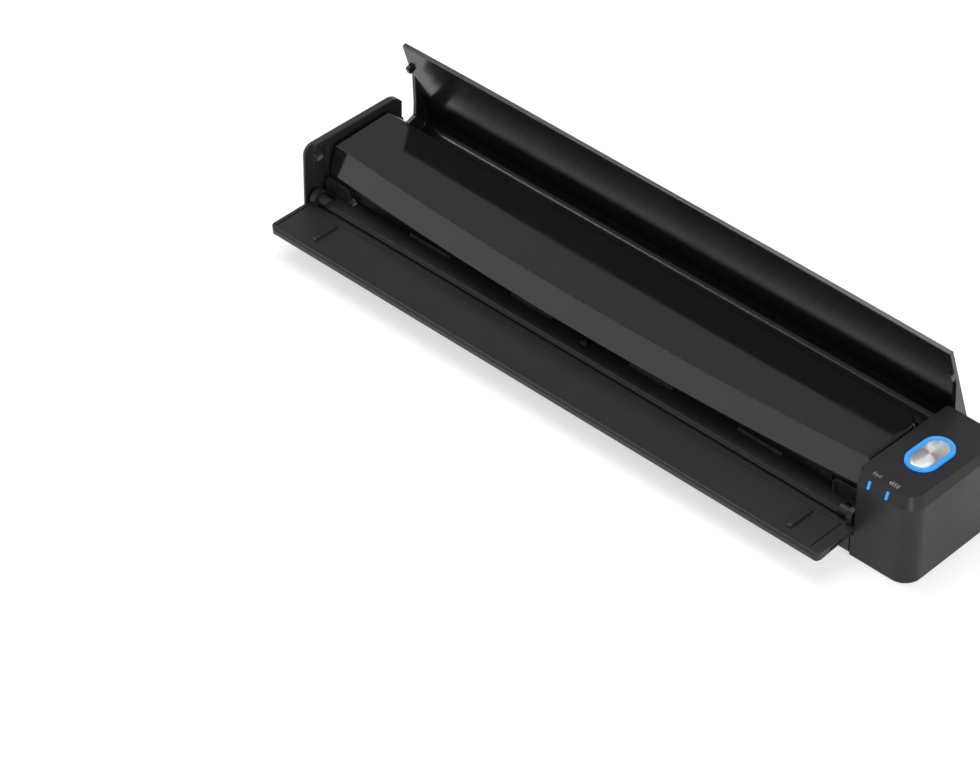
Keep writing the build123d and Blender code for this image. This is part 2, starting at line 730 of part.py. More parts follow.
pinion_gap = motor_angle + 180 + (-360 / roller_teeth - motor_angle) * -roller_teeth / pinion_teeth
with BuildPart() as motor_pinion:
    gear_layer(inner_layer, motor_centre, pinion_teeth, pinion_gap + 180 / pinion_teeth)
    rod(inner_layer[0], motor_x + 5.5, motor_centre, motor_shaft_radius)
motor_pinion.part.label = "motor_pinion"
export_step(motor_pinion.part, "parts/motor_pinion.step")


def feed_face(reach, raised=0.0):
    """Inner face of the closed feeding guide, at a distance from its hinge: a point (Y, Z)."""
    thickness = feed_root + (feed_rim - feed_root) * (reach - 2.1) / (feed_reach - 2.1)
    return (thickness - feed_depth + raised, reach)


# Feeding guide: the front flap, drawn closed and turned open about its hinge
with BuildPart() as feeding_guide_shell:
    with BuildSketch(turned(feed_left, feed_hinge, feed_open)) as flap_outline:
        with BuildLine():
            Polyline((-2.38, 0.3), (-feed_depth, 0.3), (-feed_depth, feed_reach))
            Polyline((-feed_depth, feed_reach), feed_face(feed_reach), feed_face(2.13))
            ThreePointArc(feed_face(2.13), (-2.04, 1.3), (-2.38, 0.3))
        make_face()
        fillet(flap_outline.vertices().group_by(Axis.Y)[-1], 0.9)
    extrude(amount=feed_right - feed_left)
    with BuildSketch(turned_plan(feed_hinge, feed_open - 90)) as flap_plan:
        with Locations(((feed_left + feed_right) / 2, -feed_reach)):
            RectangleRounded(feed_right - feed_left, 60, 2.5, align=(Align.CENTER, Align.MIN))
    extrude(amount=8, both=True, mode=Mode.INTERSECT)
    # skirt that wraps under the nose of the deck
    with BuildSketch(turned(nose_left + 0.3, feed_hinge, feed_open)) as skirt:
        with BuildLine():
            CenterArc((0, 0), feed_depth, 170, 61)
            CenterArc((0, 0), feed_bore, 170, 61)
            for angle in (170, 231):
                Line(
                    (feed_bore * cos(radians(angle)), feed_bore * sin(radians(angle))),
                    (feed_depth * cos(radians(angle)), feed_depth * sin(radians(angle))),
                )
        make_face()
    extrude(amount=nose_right - nose_left - 0.6)
    # ears that hold the hinge pins
    for x in (nose_left - 2.3, nose_right + 0.3):
        rod(x, x + 2.0, feed_hinge, ear_radius)
        rod(x - 1, x + 3, feed_hinge, feed_pin_radius, mode=Mode.SUBTRACT)
    # recess for the inner panel, and a small slot in the right end
    prism(
        turned(panel_left - panel_end_gap, feed_hinge, feed_open),
        panel_right - panel_left + 2 * panel_end_gap,
        feed_face(panel_start - fit_gap, 1),
        feed_face(panel_end + fit_gap, 1),
        feed_face(panel_end + fit_gap, -panel_wall),
        feed_face(panel_start - fit_gap, -panel_wall),
        mode=Mode.SUBTRACT,
    )
    prism(
        turned(feed_right - 0.5, feed_hinge, feed_open),
        2,
        (-2.7, feed_reach - 12.8),
        (-1.9, feed_reach - 12.8),
        (-1.9, feed_reach - 6.8),
        (-2.7, feed_reach - 6.8),
        mode=Mode.SUBTRACT,
    )
feeding_guide_shell.part.label = "feeding_guide_shell"
export_step(feeding_guide_shell.part, "parts/feeding_guide_shell.step")

with BuildPart() as feeding_guide_panel:
    prism(
        turned(panel_left, feed_hinge, feed_open),
        panel_right - panel_left,
        feed_face(panel_start, -0.1),
        feed_face(panel_end, -0.1),
        feed_face(panel_end, -panel_wall),
        feed_face(panel_start, -panel_wall),
    )
    # low ridges that show how wide a sheet may be
    for x in (plate_left + 2.6, plate_right - 1.8):
        prism(
            turned(x, feed_hinge, feed_open),
            ridge_width,
            feed_face(5.6, -0.3),
            feed_face(6.0, 0.5),
            feed_face(6.8, 0.85),
            feed_face(feed_reach - 5.4, 0.85),
            feed_face(feed_reach - 4.6, 0.5),
            feed_face(feed_reach - 4.3, -0.3),
        )
feeding_guide_panel.part.label = "feeding_guide_panel"
export_step(feeding_guide_panel.part, "parts/feeding_guide_panel.step")

with BuildPart() as feeding_guide_pins:
    rod(nose_left - 2.3, nose_left + 3.6, feed_hinge, feed_pin_radius)
    rod(nose_right - 3.6, nose_right + 2.3, feed_hinge, feed_pin_radius)
feeding_guide_pins.part.label = "feeding_guide_pins"
export_step(feeding_guide_pins.part, "parts/feeding_guide_pins.step")

# Output guide: the rear flap, drawn closed and turned up about its hinge
with BuildPart() as output_guide_shell:
    with BuildSketch(turned(out_left, out_hinge, -out_raise)) as guide_outline:
        inner_y = rear_y - out_skirt
        outer_corner, inner_corner = about(
            out_hinge, (rear_y, top_z(rear_y)), (inner_y, top_z(inner_y) - out_wall)
        )
        with BuildLine():
            Polyline(
                *about(out_hinge, (out_tip, top_z(out_tip))),
                outer_corner,
                *about(out_hinge, (rear_y, out_skirt_bottom), (inner_y, out_skirt_bottom)),
                inner_corner,
                *about(out_hinge, (out_tip, top_z(out_tip) - out_wall)),
                close=True,
            )
        make_face()
        fillet(corner(guide_outline, *outer_corner), 3.2)
        fillet(corner(guide_outline, *inner_corner), 4.0)
        fillet(guide_outline.vertices().group_by(Axis.X)[0].sort_by(Axis.Y)[-1], 0.5)
    extrude(amount=out_right - out_left)
    # bowed outer edge
    middle = (out_left + out_right) / 2
    with BuildSketch(turned_plan(out_hinge, -out_raise)) as bow:
        with BuildLine():
            ThreePointArc(
                (out_left - 1, out_tip + out_bow - out_hinge[0]),
                (middle, out_tip - out_hinge[0]),
                (out_right + 1, out_tip + out_bow - out_hinge[0]),
            )
            Polyline(
                (out_right + 1, out_tip + out_bow - out_hinge[0]),
                (out_right + 1, out_tip - 9 - out_hinge[0]),
                (out_left - 1, out_tip - 9 - out_hinge[0]),
                (out_left - 1, out_tip + out_bow - out_hinge[0]),
            )
        make_face()
    extrude(amount=30, mode=Mode.SUBTRACT)
    # end walls with the hinge bosses, and a nub on each for the catch
    crown = height - out_hinge[1]
    for x in (out_left, out_right - out_side):
        prism(
            turned(x, out_hinge, -out_raise),
            out_side,
            (-19.7, top_z(out_hinge[0] - 19.7) - 1.0 - out_hinge[1]),
            (-19.7, crown - 2.4),
            (-8.2, crown - 5.8),
            (-3.4, crown - 7.7),
            (-out_boss_radius, crown - 8.4),
            (-out_boss_radius, 0),
            (out_boss_radius, 0),
            (4.6, crown - 11.7),
            (4.7, crown - 6.0),
            (2.5, top_z(out_hinge[0] + 2.5) - 1.0 - out_hinge[1]),
        )
        rod(x, x + out_side, out_hinge, out_boss_radius)
        prism(
            turned(x, out_hinge, -out_raise),
            out_side,
            (-25.5, crown - 1.4),
            (-25.5, crown - 3.4),
            (-25.0, crown - 3.9),
            (-23.0, crown - 3.9),
            (-22.5, crown - 3.4),
            (-22.5, crown - 1.4),
        )
        rod(x - 1, x + out_side + 1, out_hinge, out_pin_radius, mode=Mode.SUBTRACT)
output_guide_shell.part.label = "output_guide_shell"
export_step(output_guide_shell.part, "parts/output_guide_shell.step")

with BuildPart() as output_guide_pins:
    rod(cheek_x - pin_in_case + 0.1, out_left + out_side, out_hinge, out_pin_radius)
    rod(out_left + out_side, out_left + out_side + 0.8, out_hinge, out_pin_radius + 0.6)
    rod(out_right - out_side, seam_x + pin_in_case - 0.1, out_hinge, out_pin_radius)
    rod(out_right - out_side - 0.8, out_right - out_side, out_hinge, out_pin_radius + 0.6)
output_guide_pins.part.label = "output_guide_pins"
export_step(output_guide_pins.part, "parts/output_guide_pins.step")


def cover_plan(z, front, bow, rear, inset):
    """Plan of the top cover at height z, with a bowed front and one rounded rear corner."""
    left, right = cover_left + inset, cover_right - inset
    radius = cover_corner - inset
    front, rear = front + inset, rear - inset
    round_x, round_y = right - radius, rear - radius
    with BuildSketch(Plane.XY.offset(z)) as plan:
        with BuildLine():
            ThreePointArc((left, front), ((left + right) / 2, front - bow), (right, front))
            Line((right, front), (right, round_y))
            ThreePointArc(
                (right, round_y),
                (round_x + radius * cos(radians(45)), round_y + radius * sin(radians(45))),
                (round_x, rear),
            )
            Line((round_x, rear), (left, rear))
            Line((left, rear), (left, front))
        make_face()
    return plan.sketch.faces()[0]


# Top cover: a hollow shell, open below, with a bowed crease along its front
with BuildPart() as top_cover_shell:
    brow_y = crease_end - brow_lean
    loft(
        [
            cover_plan(cover_bottom, mouth_y, 0.02, cover_rear - 0.5, 0),
            cover_plan(cover_brow, brow_y, crease_bow, cover_rear, 0),
            cover_plan(cover_top, crease_end, crease_bow, cover_rear, 0),
        ],
        ruled=True,
    )
    top_edges = top_cover_shell.faces().sort_by(Axis.Z)[-1].edges()
    fillet(top_edges.filter_by(lambda e: e.center().Y > 8), 2.0)
    loft(
        [
            cover_plan(cover_bottom - 0.5, mouth_y - 0.3, 0.02, cover_rear - 0.5, cover_wall - 0.3),
            cover_plan(cover_brow, brow_y, crease_bow, cover_rear, cover_wall),
            cover_plan(cover_top - cover_wall, crease_end, crease_bow, cover_rear, cover_wall),
        ],
        ruled=True,
        mode=Mode.SUBTRACT,
    )
    # lower front corners cut out over the hoods of the paper mouth
    for x1, x2 in ((cover_left - 1, plate_left + 0.4), (plate_right - 1.5, cover_right + 1)):
        box((x1, x2), (mouth_y - 3, hood_rear + 1.6), (cover_bottom - 1, hood_top + 0.6), mode=Mode.SUBTRACT)
    # bosses for the hinge pins and for the screws of the frame
    for x in (cover_left + 1, cover_right - 3.4):
        rod(x, x + 2.4, cover_hinge, 2.7)
    rod(cheek_x, seam_x, cover_hinge, cover_pin_radius, mode=Mode.SUBTRACT)
    for x, y in cover_screws:
        post(x, y, frame_z + frame_wall, cover_top - 1.0, 2.2)
    for x, y in cover_screws:
        post(x, y, frame_z - 4, cover_top - 2.2, screw_radius, mode=Mode.SUBTRACT)
top_cover_shell.part.label = "top_cover_shell"
export_step(top_cover_shell.part, "parts/top_cover_shell.step")

with BuildPart() as cover_hinge_pins:
    rod(cheek_x - pin_in_case + 0.1, cover_left + 3.4, cover_hinge, cover_pin_radius)
    rod(cover_right - 3.4, seam_x + pin_in_case - 0.1, cover_hinge, cover_pin_radius)
cover_hinge_pins.part.label = "cover_hinge_pins"
export_step(cover_hinge_pins.part, "parts/cover_hinge_pins.step")

# Frame inside the top cover: carries the sensor and the pinch rollers
leg_xs = [x + side for x in tyre_xs for side in (-10.0, 8.4)]
with BuildPart() as cover_frame:
    box((cover_left + 4.0, cover_right - 4.0), (crease_end + 1.6, cover_rear - 2.1), (frame_z, frame_z + frame_wall))
    fillet(cover_frame.edges().filter_by(Axis.Z).group_by(Axis.X)[-1].sort_by(Axis.Y)[-1], 6.0)
    for x in leg_xs:
        for y in (-roller_y, roller_y):
            box((x, x + 1.6), (y - 1.7, y + 1.7), (16.2, frame_z))
    for x in leg_xs:
        for y in (-roller_y, roller_y):
            with BuildSketch(turned(x - 0.5, (y, pinch_z + 0.3), 0)) as axle_slot:
                SlotOverall(2 * pinch_axle_radius + 0.7, 2 * pinch_axle_radius + 0.1, rotation=90)
            extrude(amount=2.6, mode=Mode.SUBTRACT)
    for x, y in cover_screws:
        post(x, y, frame_z - 4, cover_top, screw_radius + 0.15, mode=Mode.SUBTRACT)
cover_frame.part.label = "cover_frame"
export_step(cover_frame.part, "parts/cover_frame.step")

with BuildPart() as sensor_housing:
    box(
        (deck_left - 1.0, deck_right + 1.0),
        (-sensor_half_depth, sensor_half_depth),
        (sensor_bottom, frame_z),
    )
    chamfer(sensor_housing.faces().sort_by(Axis.Z)[0].edges().filter_by(Axis.X), 0.6)
    box(
        (deck_left + 0.5, deck_right - 0.5),
        (-glass_half_depth + 1.0, glass_half_depth - 1.0),
        (sensor_bottom - 1, frame_z - 1.6),
        mode=Mode.SUBTRACT,
    )
sensor_housing.part.label = "sensor_housing"
export_step(sensor_housing.part, "parts/sensor_housing.step")

# Sensor bar inside the housing: circuit strip, lens array and light bar
with BuildPart() as sensor_bar:
    half = glass_half_depth - 1.2
    strip_z = frame_z - 2.8
    room = frame_z - sensor_bottom
    box((deck_left + 0.9, deck_right - 0.9), (-half, half), (strip_z, strip_z + 1.2))
    box((deck_left + 2.0, deck_right - 2.0), (-1.0, 1.0), (sensor_bottom + 0.25 * room, strip_z))
    box((deck_left + 2.0, deck_right - 2.0), (half - 1.8, half - 0.2), (sensor_bottom + 0.3 * room, strip_z))
sensor_bar.part.label = "sensor_bar"
export_step(sensor_bar.part, "parts/sensor_bar.step")

with BuildPart() as sensor_glass:
    box(
        (deck_left, deck_right),
        (-glass_half_depth, glass_half_depth),
        (sensor_bottom - glass_wall, sensor_bottom),
    )
    chamfer(sensor_glass.faces().sort_by(Axis.Z)[0].edges(), 0.3)
sensor_glass.part.label = "sensor_glass"
export_step(sensor_glass.part, "parts/sensor_glass.step")


def pinch_rollers(centre):
    """The four pinch rollers of one axle."""
    for x in tyre_xs:
        rod(x - pinch_length / 2, x + pinch_length / 2, centre, pinch_radius)
    for x in tyre_xs:
        rod(x - pinch_length, x + pinch_length, centre, pinch_axle_radius + pin_gap, mode=Mode.SUBTRACT)


with BuildPart() as front_pinch_rollers:
    pinch_rollers(front_pinch)
    chamfer(front_pinch_rollers.edges().filter_by(GeomType.CIRCLE).group_by(SortBy.RADIUS)[-1], 0.4)
front_pinch_rollers.part.label = "front_pinch_rollers"
export_step(front_pinch_rollers.part, "parts/front_pinch_rollers.step")

with BuildPart() as rear_pinch_rollers:
    pinch_rollers(rear_pinch)
    chamfer(rear_pinch_rollers.edges().filter_by(GeomType.CIRCLE).group_by(SortBy.RADIUS)[-1], 0.4)
rear_pinch_rollers.part.label = "rear_pinch_rollers"
export_step(rear_pinch_rollers.part, "parts/rear_pinch_rollers.step")

# Axles of the pinch rollers, pressed down by leaf springs
with BuildPart() as pinch_axles:
    for centre in (front_pinch, rear_pinch):
        rod(tyre_xs[0] - 11, tyre_xs[-1] + 14.6, centre, pinch_axle_radius)
    chamfer(pinch_axles.edges().filter_by(GeomType.CIRCLE), 0.25)
pinch_axles.part.label = "pinch_axles"
export_step(pinch_axles.part, "parts/pinch_axles.step")

spring_low = pinch_z + pinch_axle_radius
with BuildPart() as pinch_springs:
    for x in tyre_xs:
        for y in (-roller_y, roller_y):
            with BuildSketch(section(x + 10.4)) as leaf:
                with BuildLine():
                    ThreePointArc((y - 2.2, frame_z), (y, spring_low), (y + 2.2, frame_z))
                    Line((y + 2.2, frame_z), (y + 1.8, frame_z))
                    ThreePointArc((y + 1.8, frame_z), (y, spring_low + 0.35), (y - 1.8, frame_z))
                    Line((y - 1.8, frame_z), (y - 2.2, frame_z))
                make_face()
            extrude(leaf.sketch, amount=3.6)
pinch_springs.part.label = "pinch_springs"
export_step(pinch_springs.part, "parts/pinch_springs.step")

# Lever that feels whether a sheet lies in the mouth
lever_pivot = (lever_y, 8.5)
with BuildPart() as document_lever:
    rod(bay_middle - 1.2, bay_middle + 1.2, lever_pivot, 1.7)
    prism(
        turned(bay_middle - 1.2, lever_pivot, 0),
        2.4,
        (-1.2, 0.7),
        (-1.6, 6.1),
        (-1.5, 6.8),
        (-0.9, 7.0),
        (-0.3, 6.5),
        (0.5, 1.0),
    )
    arm = ((-1.0, -0.5), (-1.2, -4.6), (1.2, -4.6), (1.0, -0.5))
    prism(turned(bay_middle - 0.4, lever_pivot, 0), 0.8, *arm)
    rod(bay_middle - 2, bay_middle + 2, lever_pivot, 0.85, mode=Mode.SUBTRACT)
document_lever.part.label = "document_lever"
export_step(document_lever.part, "parts/document_lever.step")

with BuildPart() as lever_pin:
    rod(bay_middle - 4.6, bay_middle + 4.6, lever_pivot, 0.8)
lever_pin.part.label = "lever_pin"
export_step(lever_pin.part, "parts/lever_pin.step")

with BuildPart() as lever_spring:
    with BuildLine() as coil:
        Helix(pitch=0.42, height=1.26, radius=1.15, center=(bay_middle + 1.45, *lever_pivot), direction=(1, 0, 0))
    with BuildSketch(Plane(origin=coil.line @ 0, z_dir=coil.line % 0)):
        Circle(0.15)
    sweep()
lever_spring.part.label = "lever_spring"
export_step(lever_spring.part, "parts/lever_spring.step")

with BuildPart() as photo_sensor:
    box((bay_middle - 3.2, bay_middle + 3.2), (lever_y - 1.8, lever_y + 1.8), (floor_top, 6.4))
    box((bay_middle - 1.1, bay_middle + 1.1), (lever_y - 3, lever_y + 3), (3.3, 9), mode=Mode.SUBTRACT)
photo_sensor.part.label = "photo_sensor"
export_step(photo_sensor.part, "parts/photo_sensor.step")

# Scan button: a cap in a ring of light
ring_bottom = height - 4.6
with BuildPart() as light_ring:
    with BuildSketch(Plane.XY.offset(ring_bottom)):
        with Locations((button_x, button_y)):
            SlotOverall(ring_length, ring_width, rotation=90)
            SlotOverall(
                ring_length - 2 * ring_band,
                ring_width - 2 * ring_band,
                rotation=90,
                mode=Mode.SUBTRACT,
            )
    extrude(amount=6)
    cut_above_top(seam_x, right_x, -ring_proud)
    with BuildSketch(Plane.XY.offset(ring_bottom)):
        with Locations((button_x, button_y)):
            SlotOverall(ring_length + 1.6, ring_width + 1.6, rotation=90)
            SlotOverall(
                ring_length - 2 * ring_band,
                ring_width - 2 * ring_band,
                rotation=90,
                mode=Mode.SUBTRACT,
            )
    extrude(amount=1.0)
light_ring.part.label = "light_ring"
export_step(light_ring.part, "parts/light_ring.step")

cap_gap = 0.15
with BuildPart() as scan_button_cap:
    with BuildSketch(Plane.XY.offset(ring_bottom + 0.2)):
        with Locations((button_x, button_y)):
            SlotOverall(
                ring_length - 2 * ring_band - 2 * cap_gap,
                ring_width - 2 * ring_band - 2 * cap_gap,
                rotation=90,
            )
    extrude(amount=6)
    cut_above_top(seam_x, right_x, -cap_proud)
    fillet(scan_button_cap.faces().sort_by(Axis.Z)[-1].edges(), 0.5)
    post(button_x, button_y, board_z + board_wall + 2.9, ring_bottom + 0.5, 2.0)
scan_button_cap.part.label = "scan_button_cap"
export_step(scan_button_cap.part, "parts/scan_button_cap.step")


def bevel_y(z):
    """Depth of the front face of the right block at height z."""
    return front_y + max(0.0, z - height + bevel_down) * bevel_in / bevel_down


# Light guides of the two lamps on the front bevel
with BuildPart() as light_bars:
    low, high = light_bottom + pin_gap, light_top - pin_gap
    for x in light_xs:
        prism(
            section(x - light_width / 2),
            light_width,
            (bevel_y(low), low),
            (bevel_y(height - bevel_down), height - bevel_down),
            (bevel_y(high), high),
            (front_y + 3.35, high),
            (front_y + 3.35, height - 3.8),
            (front_y + 4.85, height - 3.8),
            (front_y + 4.85, board_top + 0.6),
            (front_y + 3.95, board_top + 0.6),
            (front_y + 3.95, low),
        )
light_bars.part.label = "light_bars"
export_step(light_bars.part, "parts/light_bars.step")

# Main board, with its chips on the upper face
with BuildPart() as main_board:
    with BuildSketch(Plane.XY.offset(board_z)) as board_plan:
        with Locations((right_x - 20.9, 0)):
            Rectangle(18.0, depth - 6.5, align=(Align.MIN, Align.CENTER))
        chamfer(board_plan.vertices().group_by(Axis.X)[-1], 3.0)
    extrude(amount=board_wall)
main_board.part.label = "main_board"
export_step(main_board.part, "parts/main_board.step")

with BuildPart() as board_chips:
    box((right_x - 19.9, right_x - 13.9), (-14.5, -8.5), (board_top, board_top + 1.0))
    box((right_x - 11.5, right_x - 5.5), (-13.5, -9.0), (board_top, board_top + 0.9))
    box((right_x - 19.5, right_x - 15.5), (8.0, 14.0), (board_top, board_top + 0.8))
    for x in light_xs:
        box((x - 0.6, x + 0.6), (front_y + 3.85, front_y + 5.05), (board_top, board_top + 0.5))
    for x, y in [(right_x - side, y) for side in (19.1, 5.7) for y in (-6.0, 5.0)]:
        box((x - 0.7, x + 0.7), (y - 0.7, y + 0.7), (board_top, board_top + 0.7))
board_chips.part.label = "board_chips"
export_step(board_chips.part, "parts/board_chips.step")

with BuildPart() as scan_switch:
    box((button_x - 2.6, button_x + 2.6), (button_y - 2.6, button_y + 2.6), (board_top, board_top + 1.6))
    post(button_x, button_y, board_top + 1.6, board_top + 2.2, 1.2)
scan_switch.part.label = "scan_switch"
export_step(scan_switch.part, "parts/scan_switch.step")

with BuildPart() as battery_cell:
    box((right_x - 20.7, right_x - 3.3), (-13.0, 13.5), (seat_top, 12.4))
    fillet(battery_cell.edges().filter_by(Axis.Y), 2.0)
    box((right_x - 16.5, right_x - 5.5), (-14.2, -13.0), (seat_top + 2, 10.4))
battery_cell.part.label = "battery_cell"
export_step(battery_cell.part, "parts/battery_cell.step")

# Data socket at the rear
with BuildPart() as data_socket:
    box((right_x - 15.65, right_x - 8.15), (rear_y - 7.25, rear_y - 0.35), (board_z - 2.8, board_z))
    inside = ((right_x - 15.2, right_x - 8.6), (rear_y - 5.25, rear_y + 1), (board_z - 2.4, board_z - 0.4))
    box(*inside, mode=Mode.SUBTRACT)
    box((right_x - 14.3, right_x - 9.5), (rear_y - 5.75, rear_y - 1.2), (board_z - 1.3, board_z - 0.8))
data_socket.part.label = "data_socket"
export_step(data_socket.part, "parts/data_socket.step")

# Wireless switch: a body on the board and a knob that slides in the rear wall
with BuildPart() as wireless_switch:
    box((right_x - 11.9, right_x - 3.9), (rear_y - 6.75, rear_y - 2.75), (board_top, board_z + 4.6))
    slot = ((right_x - 10.9, right_x - 4.9), (rear_y - 4.35, rear_y - 1.75), (switch_z - 0.7, switch_z + 0.7))
    box(*slot, mode=Mode.SUBTRACT)
wireless_switch.part.label = "wireless_switch"
export_step(wireless_switch.part, "parts/wireless_switch.step")

with BuildPart() as wireless_knob:
    neck = (switch_z - 0.55, switch_z + 0.55)
    box((right_x - 10.6, right_x - 8.2), (rear_y - 4.15, rear_y - 0.3), neck)
    head = (switch_z - 0.75, switch_z + 0.75)
    box((right_x - 10.85, right_x - 7.95), (rear_y - 1.4, rear_y - 0.2), head)
wireless_knob.part.label = "wireless_knob"
export_step(wireless_knob.part, "parts/wireless_knob.step")

# Setup button: a small pin in the rear wall that presses a switch
with BuildPart() as setup_switch:
    box((setup_x - 2.0, setup_x + 2.0), (rear_y - 6.75, rear_y - 3.75), (board_top, board_top + 2.9))
    with BuildSketch(Plane.XZ.offset(3.75 - rear_y)) as nub:
        with Locations((setup_x, switch_z)):
            Circle(0.7)
    extrude(amount=-0.4)
setup_switch.part.label = "setup_switch"
export_step(setup_switch.part, "parts/setup_switch.step")

with BuildPart() as setup_button:
    with BuildSketch(Plane.XZ.offset(2.75 - rear_y)) as stem:
        with Locations((setup_x, switch_z)):
            Circle(1.25)
    extrude(amount=-2.65)
    with BuildSketch(Plane.XZ.offset(2.75 - rear_y)) as collar:
        with Locations((setup_x, switch_z)):
            Circle(1.55)
    extrude(amount=-0.7)
setup_button.part.label = "setup_button"
export_step(setup_button.part, "parts/setup_button.step")

# Screws: up through the floor, into the cheek and up into the top cover
with BuildPart() as case_screws:
    for x, y in floor_screws:
        screw_down(x, y)
    for place in cheek_screws:
        rod(cheek_x - 2.1, cheek_x + 2, place, screw_radius)
        rod(cheek_x + 2, cheek_x + 3.1, place, screw_head)
case_screws.part.label = "case_screws"
export_step(case_screws.part, "parts/case_screws.step")

with BuildPart() as cover_frame_screws:
    for x, y in cover_screws:
        post(x, y, frame_z - 1.1, frame_z, screw_head)
        post(x, y, frame_z, cover_top - 2.4, screw_radius)
cover_frame_screws.part.label = "cover_frame_screws"
export_step(cover_frame_screws.part, "parts/cover_frame_screws.step")
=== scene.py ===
"""Portable document scanner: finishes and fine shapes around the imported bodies.

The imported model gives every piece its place. This file gives each piece its material and makes finer
shapes of the scan cap, its ring of light, the lamps, the case screws, the tyres and the feet. It adds
the two printed symbols, the catch in the cheek, the floor, the lights and the camera, all in metres."""
import json
import math

import bmesh
import bpy
from bpy.props import FloatProperty, FloatVectorProperty, PointerProperty
from mathutils import Matrix, Vector

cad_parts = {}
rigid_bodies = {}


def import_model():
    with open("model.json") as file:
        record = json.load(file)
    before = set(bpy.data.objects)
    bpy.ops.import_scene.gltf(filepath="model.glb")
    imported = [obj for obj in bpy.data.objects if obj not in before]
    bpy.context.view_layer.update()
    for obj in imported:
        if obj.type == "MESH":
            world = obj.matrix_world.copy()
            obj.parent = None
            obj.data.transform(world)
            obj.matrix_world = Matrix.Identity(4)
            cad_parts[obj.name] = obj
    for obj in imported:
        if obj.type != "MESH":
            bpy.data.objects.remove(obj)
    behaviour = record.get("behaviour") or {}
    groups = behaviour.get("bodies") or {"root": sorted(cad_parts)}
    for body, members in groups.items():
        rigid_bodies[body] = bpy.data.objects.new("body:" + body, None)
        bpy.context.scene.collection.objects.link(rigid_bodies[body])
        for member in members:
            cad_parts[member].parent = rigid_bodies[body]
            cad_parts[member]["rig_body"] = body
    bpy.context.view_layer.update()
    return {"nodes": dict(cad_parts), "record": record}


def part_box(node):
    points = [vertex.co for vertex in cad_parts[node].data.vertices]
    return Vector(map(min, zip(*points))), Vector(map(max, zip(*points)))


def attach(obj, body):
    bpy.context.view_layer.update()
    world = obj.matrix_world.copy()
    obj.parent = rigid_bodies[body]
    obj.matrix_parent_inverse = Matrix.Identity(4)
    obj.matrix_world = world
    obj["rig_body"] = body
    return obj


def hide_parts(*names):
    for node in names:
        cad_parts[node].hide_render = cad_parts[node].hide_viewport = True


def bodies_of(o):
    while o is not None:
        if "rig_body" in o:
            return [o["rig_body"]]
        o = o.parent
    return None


bl_info = {
    "name": "Portable document scanner",
    "version": (1, 0, 0),
    "blender": (4, 5, 0),
    "location": "View3D > Sidebar > Scanner",
    "description": "Dresses the packed bodies of a portable document scanner",
    "category": "Object",
}

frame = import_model()
NODES = frame["nodes"]
MM = 0.001

# Top of the closed bar: height at the front edge, and its fall to the rear
TOP_HEIGHT = 36.0 * MM
TOP_FRONT = -23.75 * MM
TOP_FALL = math.tan(math.radians(1.95))
# Bevel round the top of the control block, and the height of a lamp's lens on it
BEVEL_IN = 1.7 * MM
BEVEL_DOWN = 4.6 * MM
LAMP_HEIGHT = 3.0 * MM
# Ink of the symbols: its place along Y, its lift off the case and its thickness
SYMBOLS_Y = -19.9 * MM
INK_LIFT = 0.012 * MM
INK_THICKNESS = 0.02 * MM
# Case screws
HEAD_RADIUS = 1.9 * MM
HEAD_THICKNESS = 1.1 * MM
SHANK_RADIUS = 0.9 * MM
THREAD_PITCH = 0.55 * MM

FLOOR_HALF = 4.0  # from the middle of the floor to its edge
QUARTER_TURN = math.pi / 2
# Points closer than this are one point, in a new piece and in a packed one
SAME_POINT = 1e-7
PACKED_SAME_POINT = 1e-6
# Wave of the scan cap's grooves, in radians per metre outwards: a groove every 0.12 mm
GROOVE_WAVE = 52000.0
# Sockets of a Mix node that blends colours
MIX_FIRST, MIX_SECOND, MIX_RESULT = 6, 7, 2


# ---- sizes and colours a user may change ----


class ScannerFinish(bpy.types.PropertyGroup):
    """Colours and gloss of the visible pieces"""

    case_colour: FloatVectorProperty(
        name="Case colour",
        description="Satin plastic of the cheek, the base and the guides",
        subtype="COLOR",
        size=3,
        min=0,
        max=1,
        default=(0.0145, 0.0147, 0.015),
    )
    block_colour: FloatVectorProperty(
        name="Block colour",
        description="Satin plastic of the control block",
        subtype="COLOR",
        size=3,
        min=0,
        max=1,
        default=(0.0135, 0.0137, 0.014),
    )
    gloss_colour: FloatVectorProperty(
        name="Cover colour",
        description="Polished plastic of the top cover",
        subtype="COLOR",
        size=3,
        min=0,
        max=1,
        default=(0.0062, 0.0062, 0.0064),
    )
    glow_colour: FloatVectorProperty(
        name="Glow colour",
        description="Light of the ring and the two lamps",
        subtype="COLOR",
        size=3,
        min=0,
        max=1,
        default=(0.025, 0.33, 0.95),
    )
    glow_strength: FloatProperty(
        name="Glow strength",
        description="How brightly the ring and the two lamps shine",
        min=0,
        max=20,
        default=0.9,
    )


class ScannerStage(bpy.types.PropertyGroup):
    """Camera and light around the scanner"""

    azimuth: FloatProperty(
        name="Azimuth",
        description="Direction of the camera round the upright axis",
        subtype="ANGLE",
        default=math.radians(42.923),
    )
    elevation: FloatProperty(
        name="Elevation",
        description="Height of the camera above the table",
        subtype="ANGLE",
        default=math.radians(40.148),
    )
    roll: FloatProperty(
        name="Roll",
        description="Tilt of the camera round its own axis",
        subtype="ANGLE",
        default=math.radians(-0.352),
    )
    distance: FloatProperty(
        name="Distance",
        description="From the camera to the point that it looks at",
        subtype="DISTANCE",
        unit="LENGTH",
        default=1.5828,
    )
    lens: FloatProperty(
        name="Lens",
        description="Focal length for a frame 36 mm wide, in millimetres",
        default=172.34,
    )
    floor_colour: FloatVectorProperty(
        name="Floor colour",
        description="Pale floor under the scanner",
        subtype="COLOR",
        size=3,
        min=0,
        max=1,
        default=(0.5, 0.5, 0.5),
    )


# ---- node trees ----


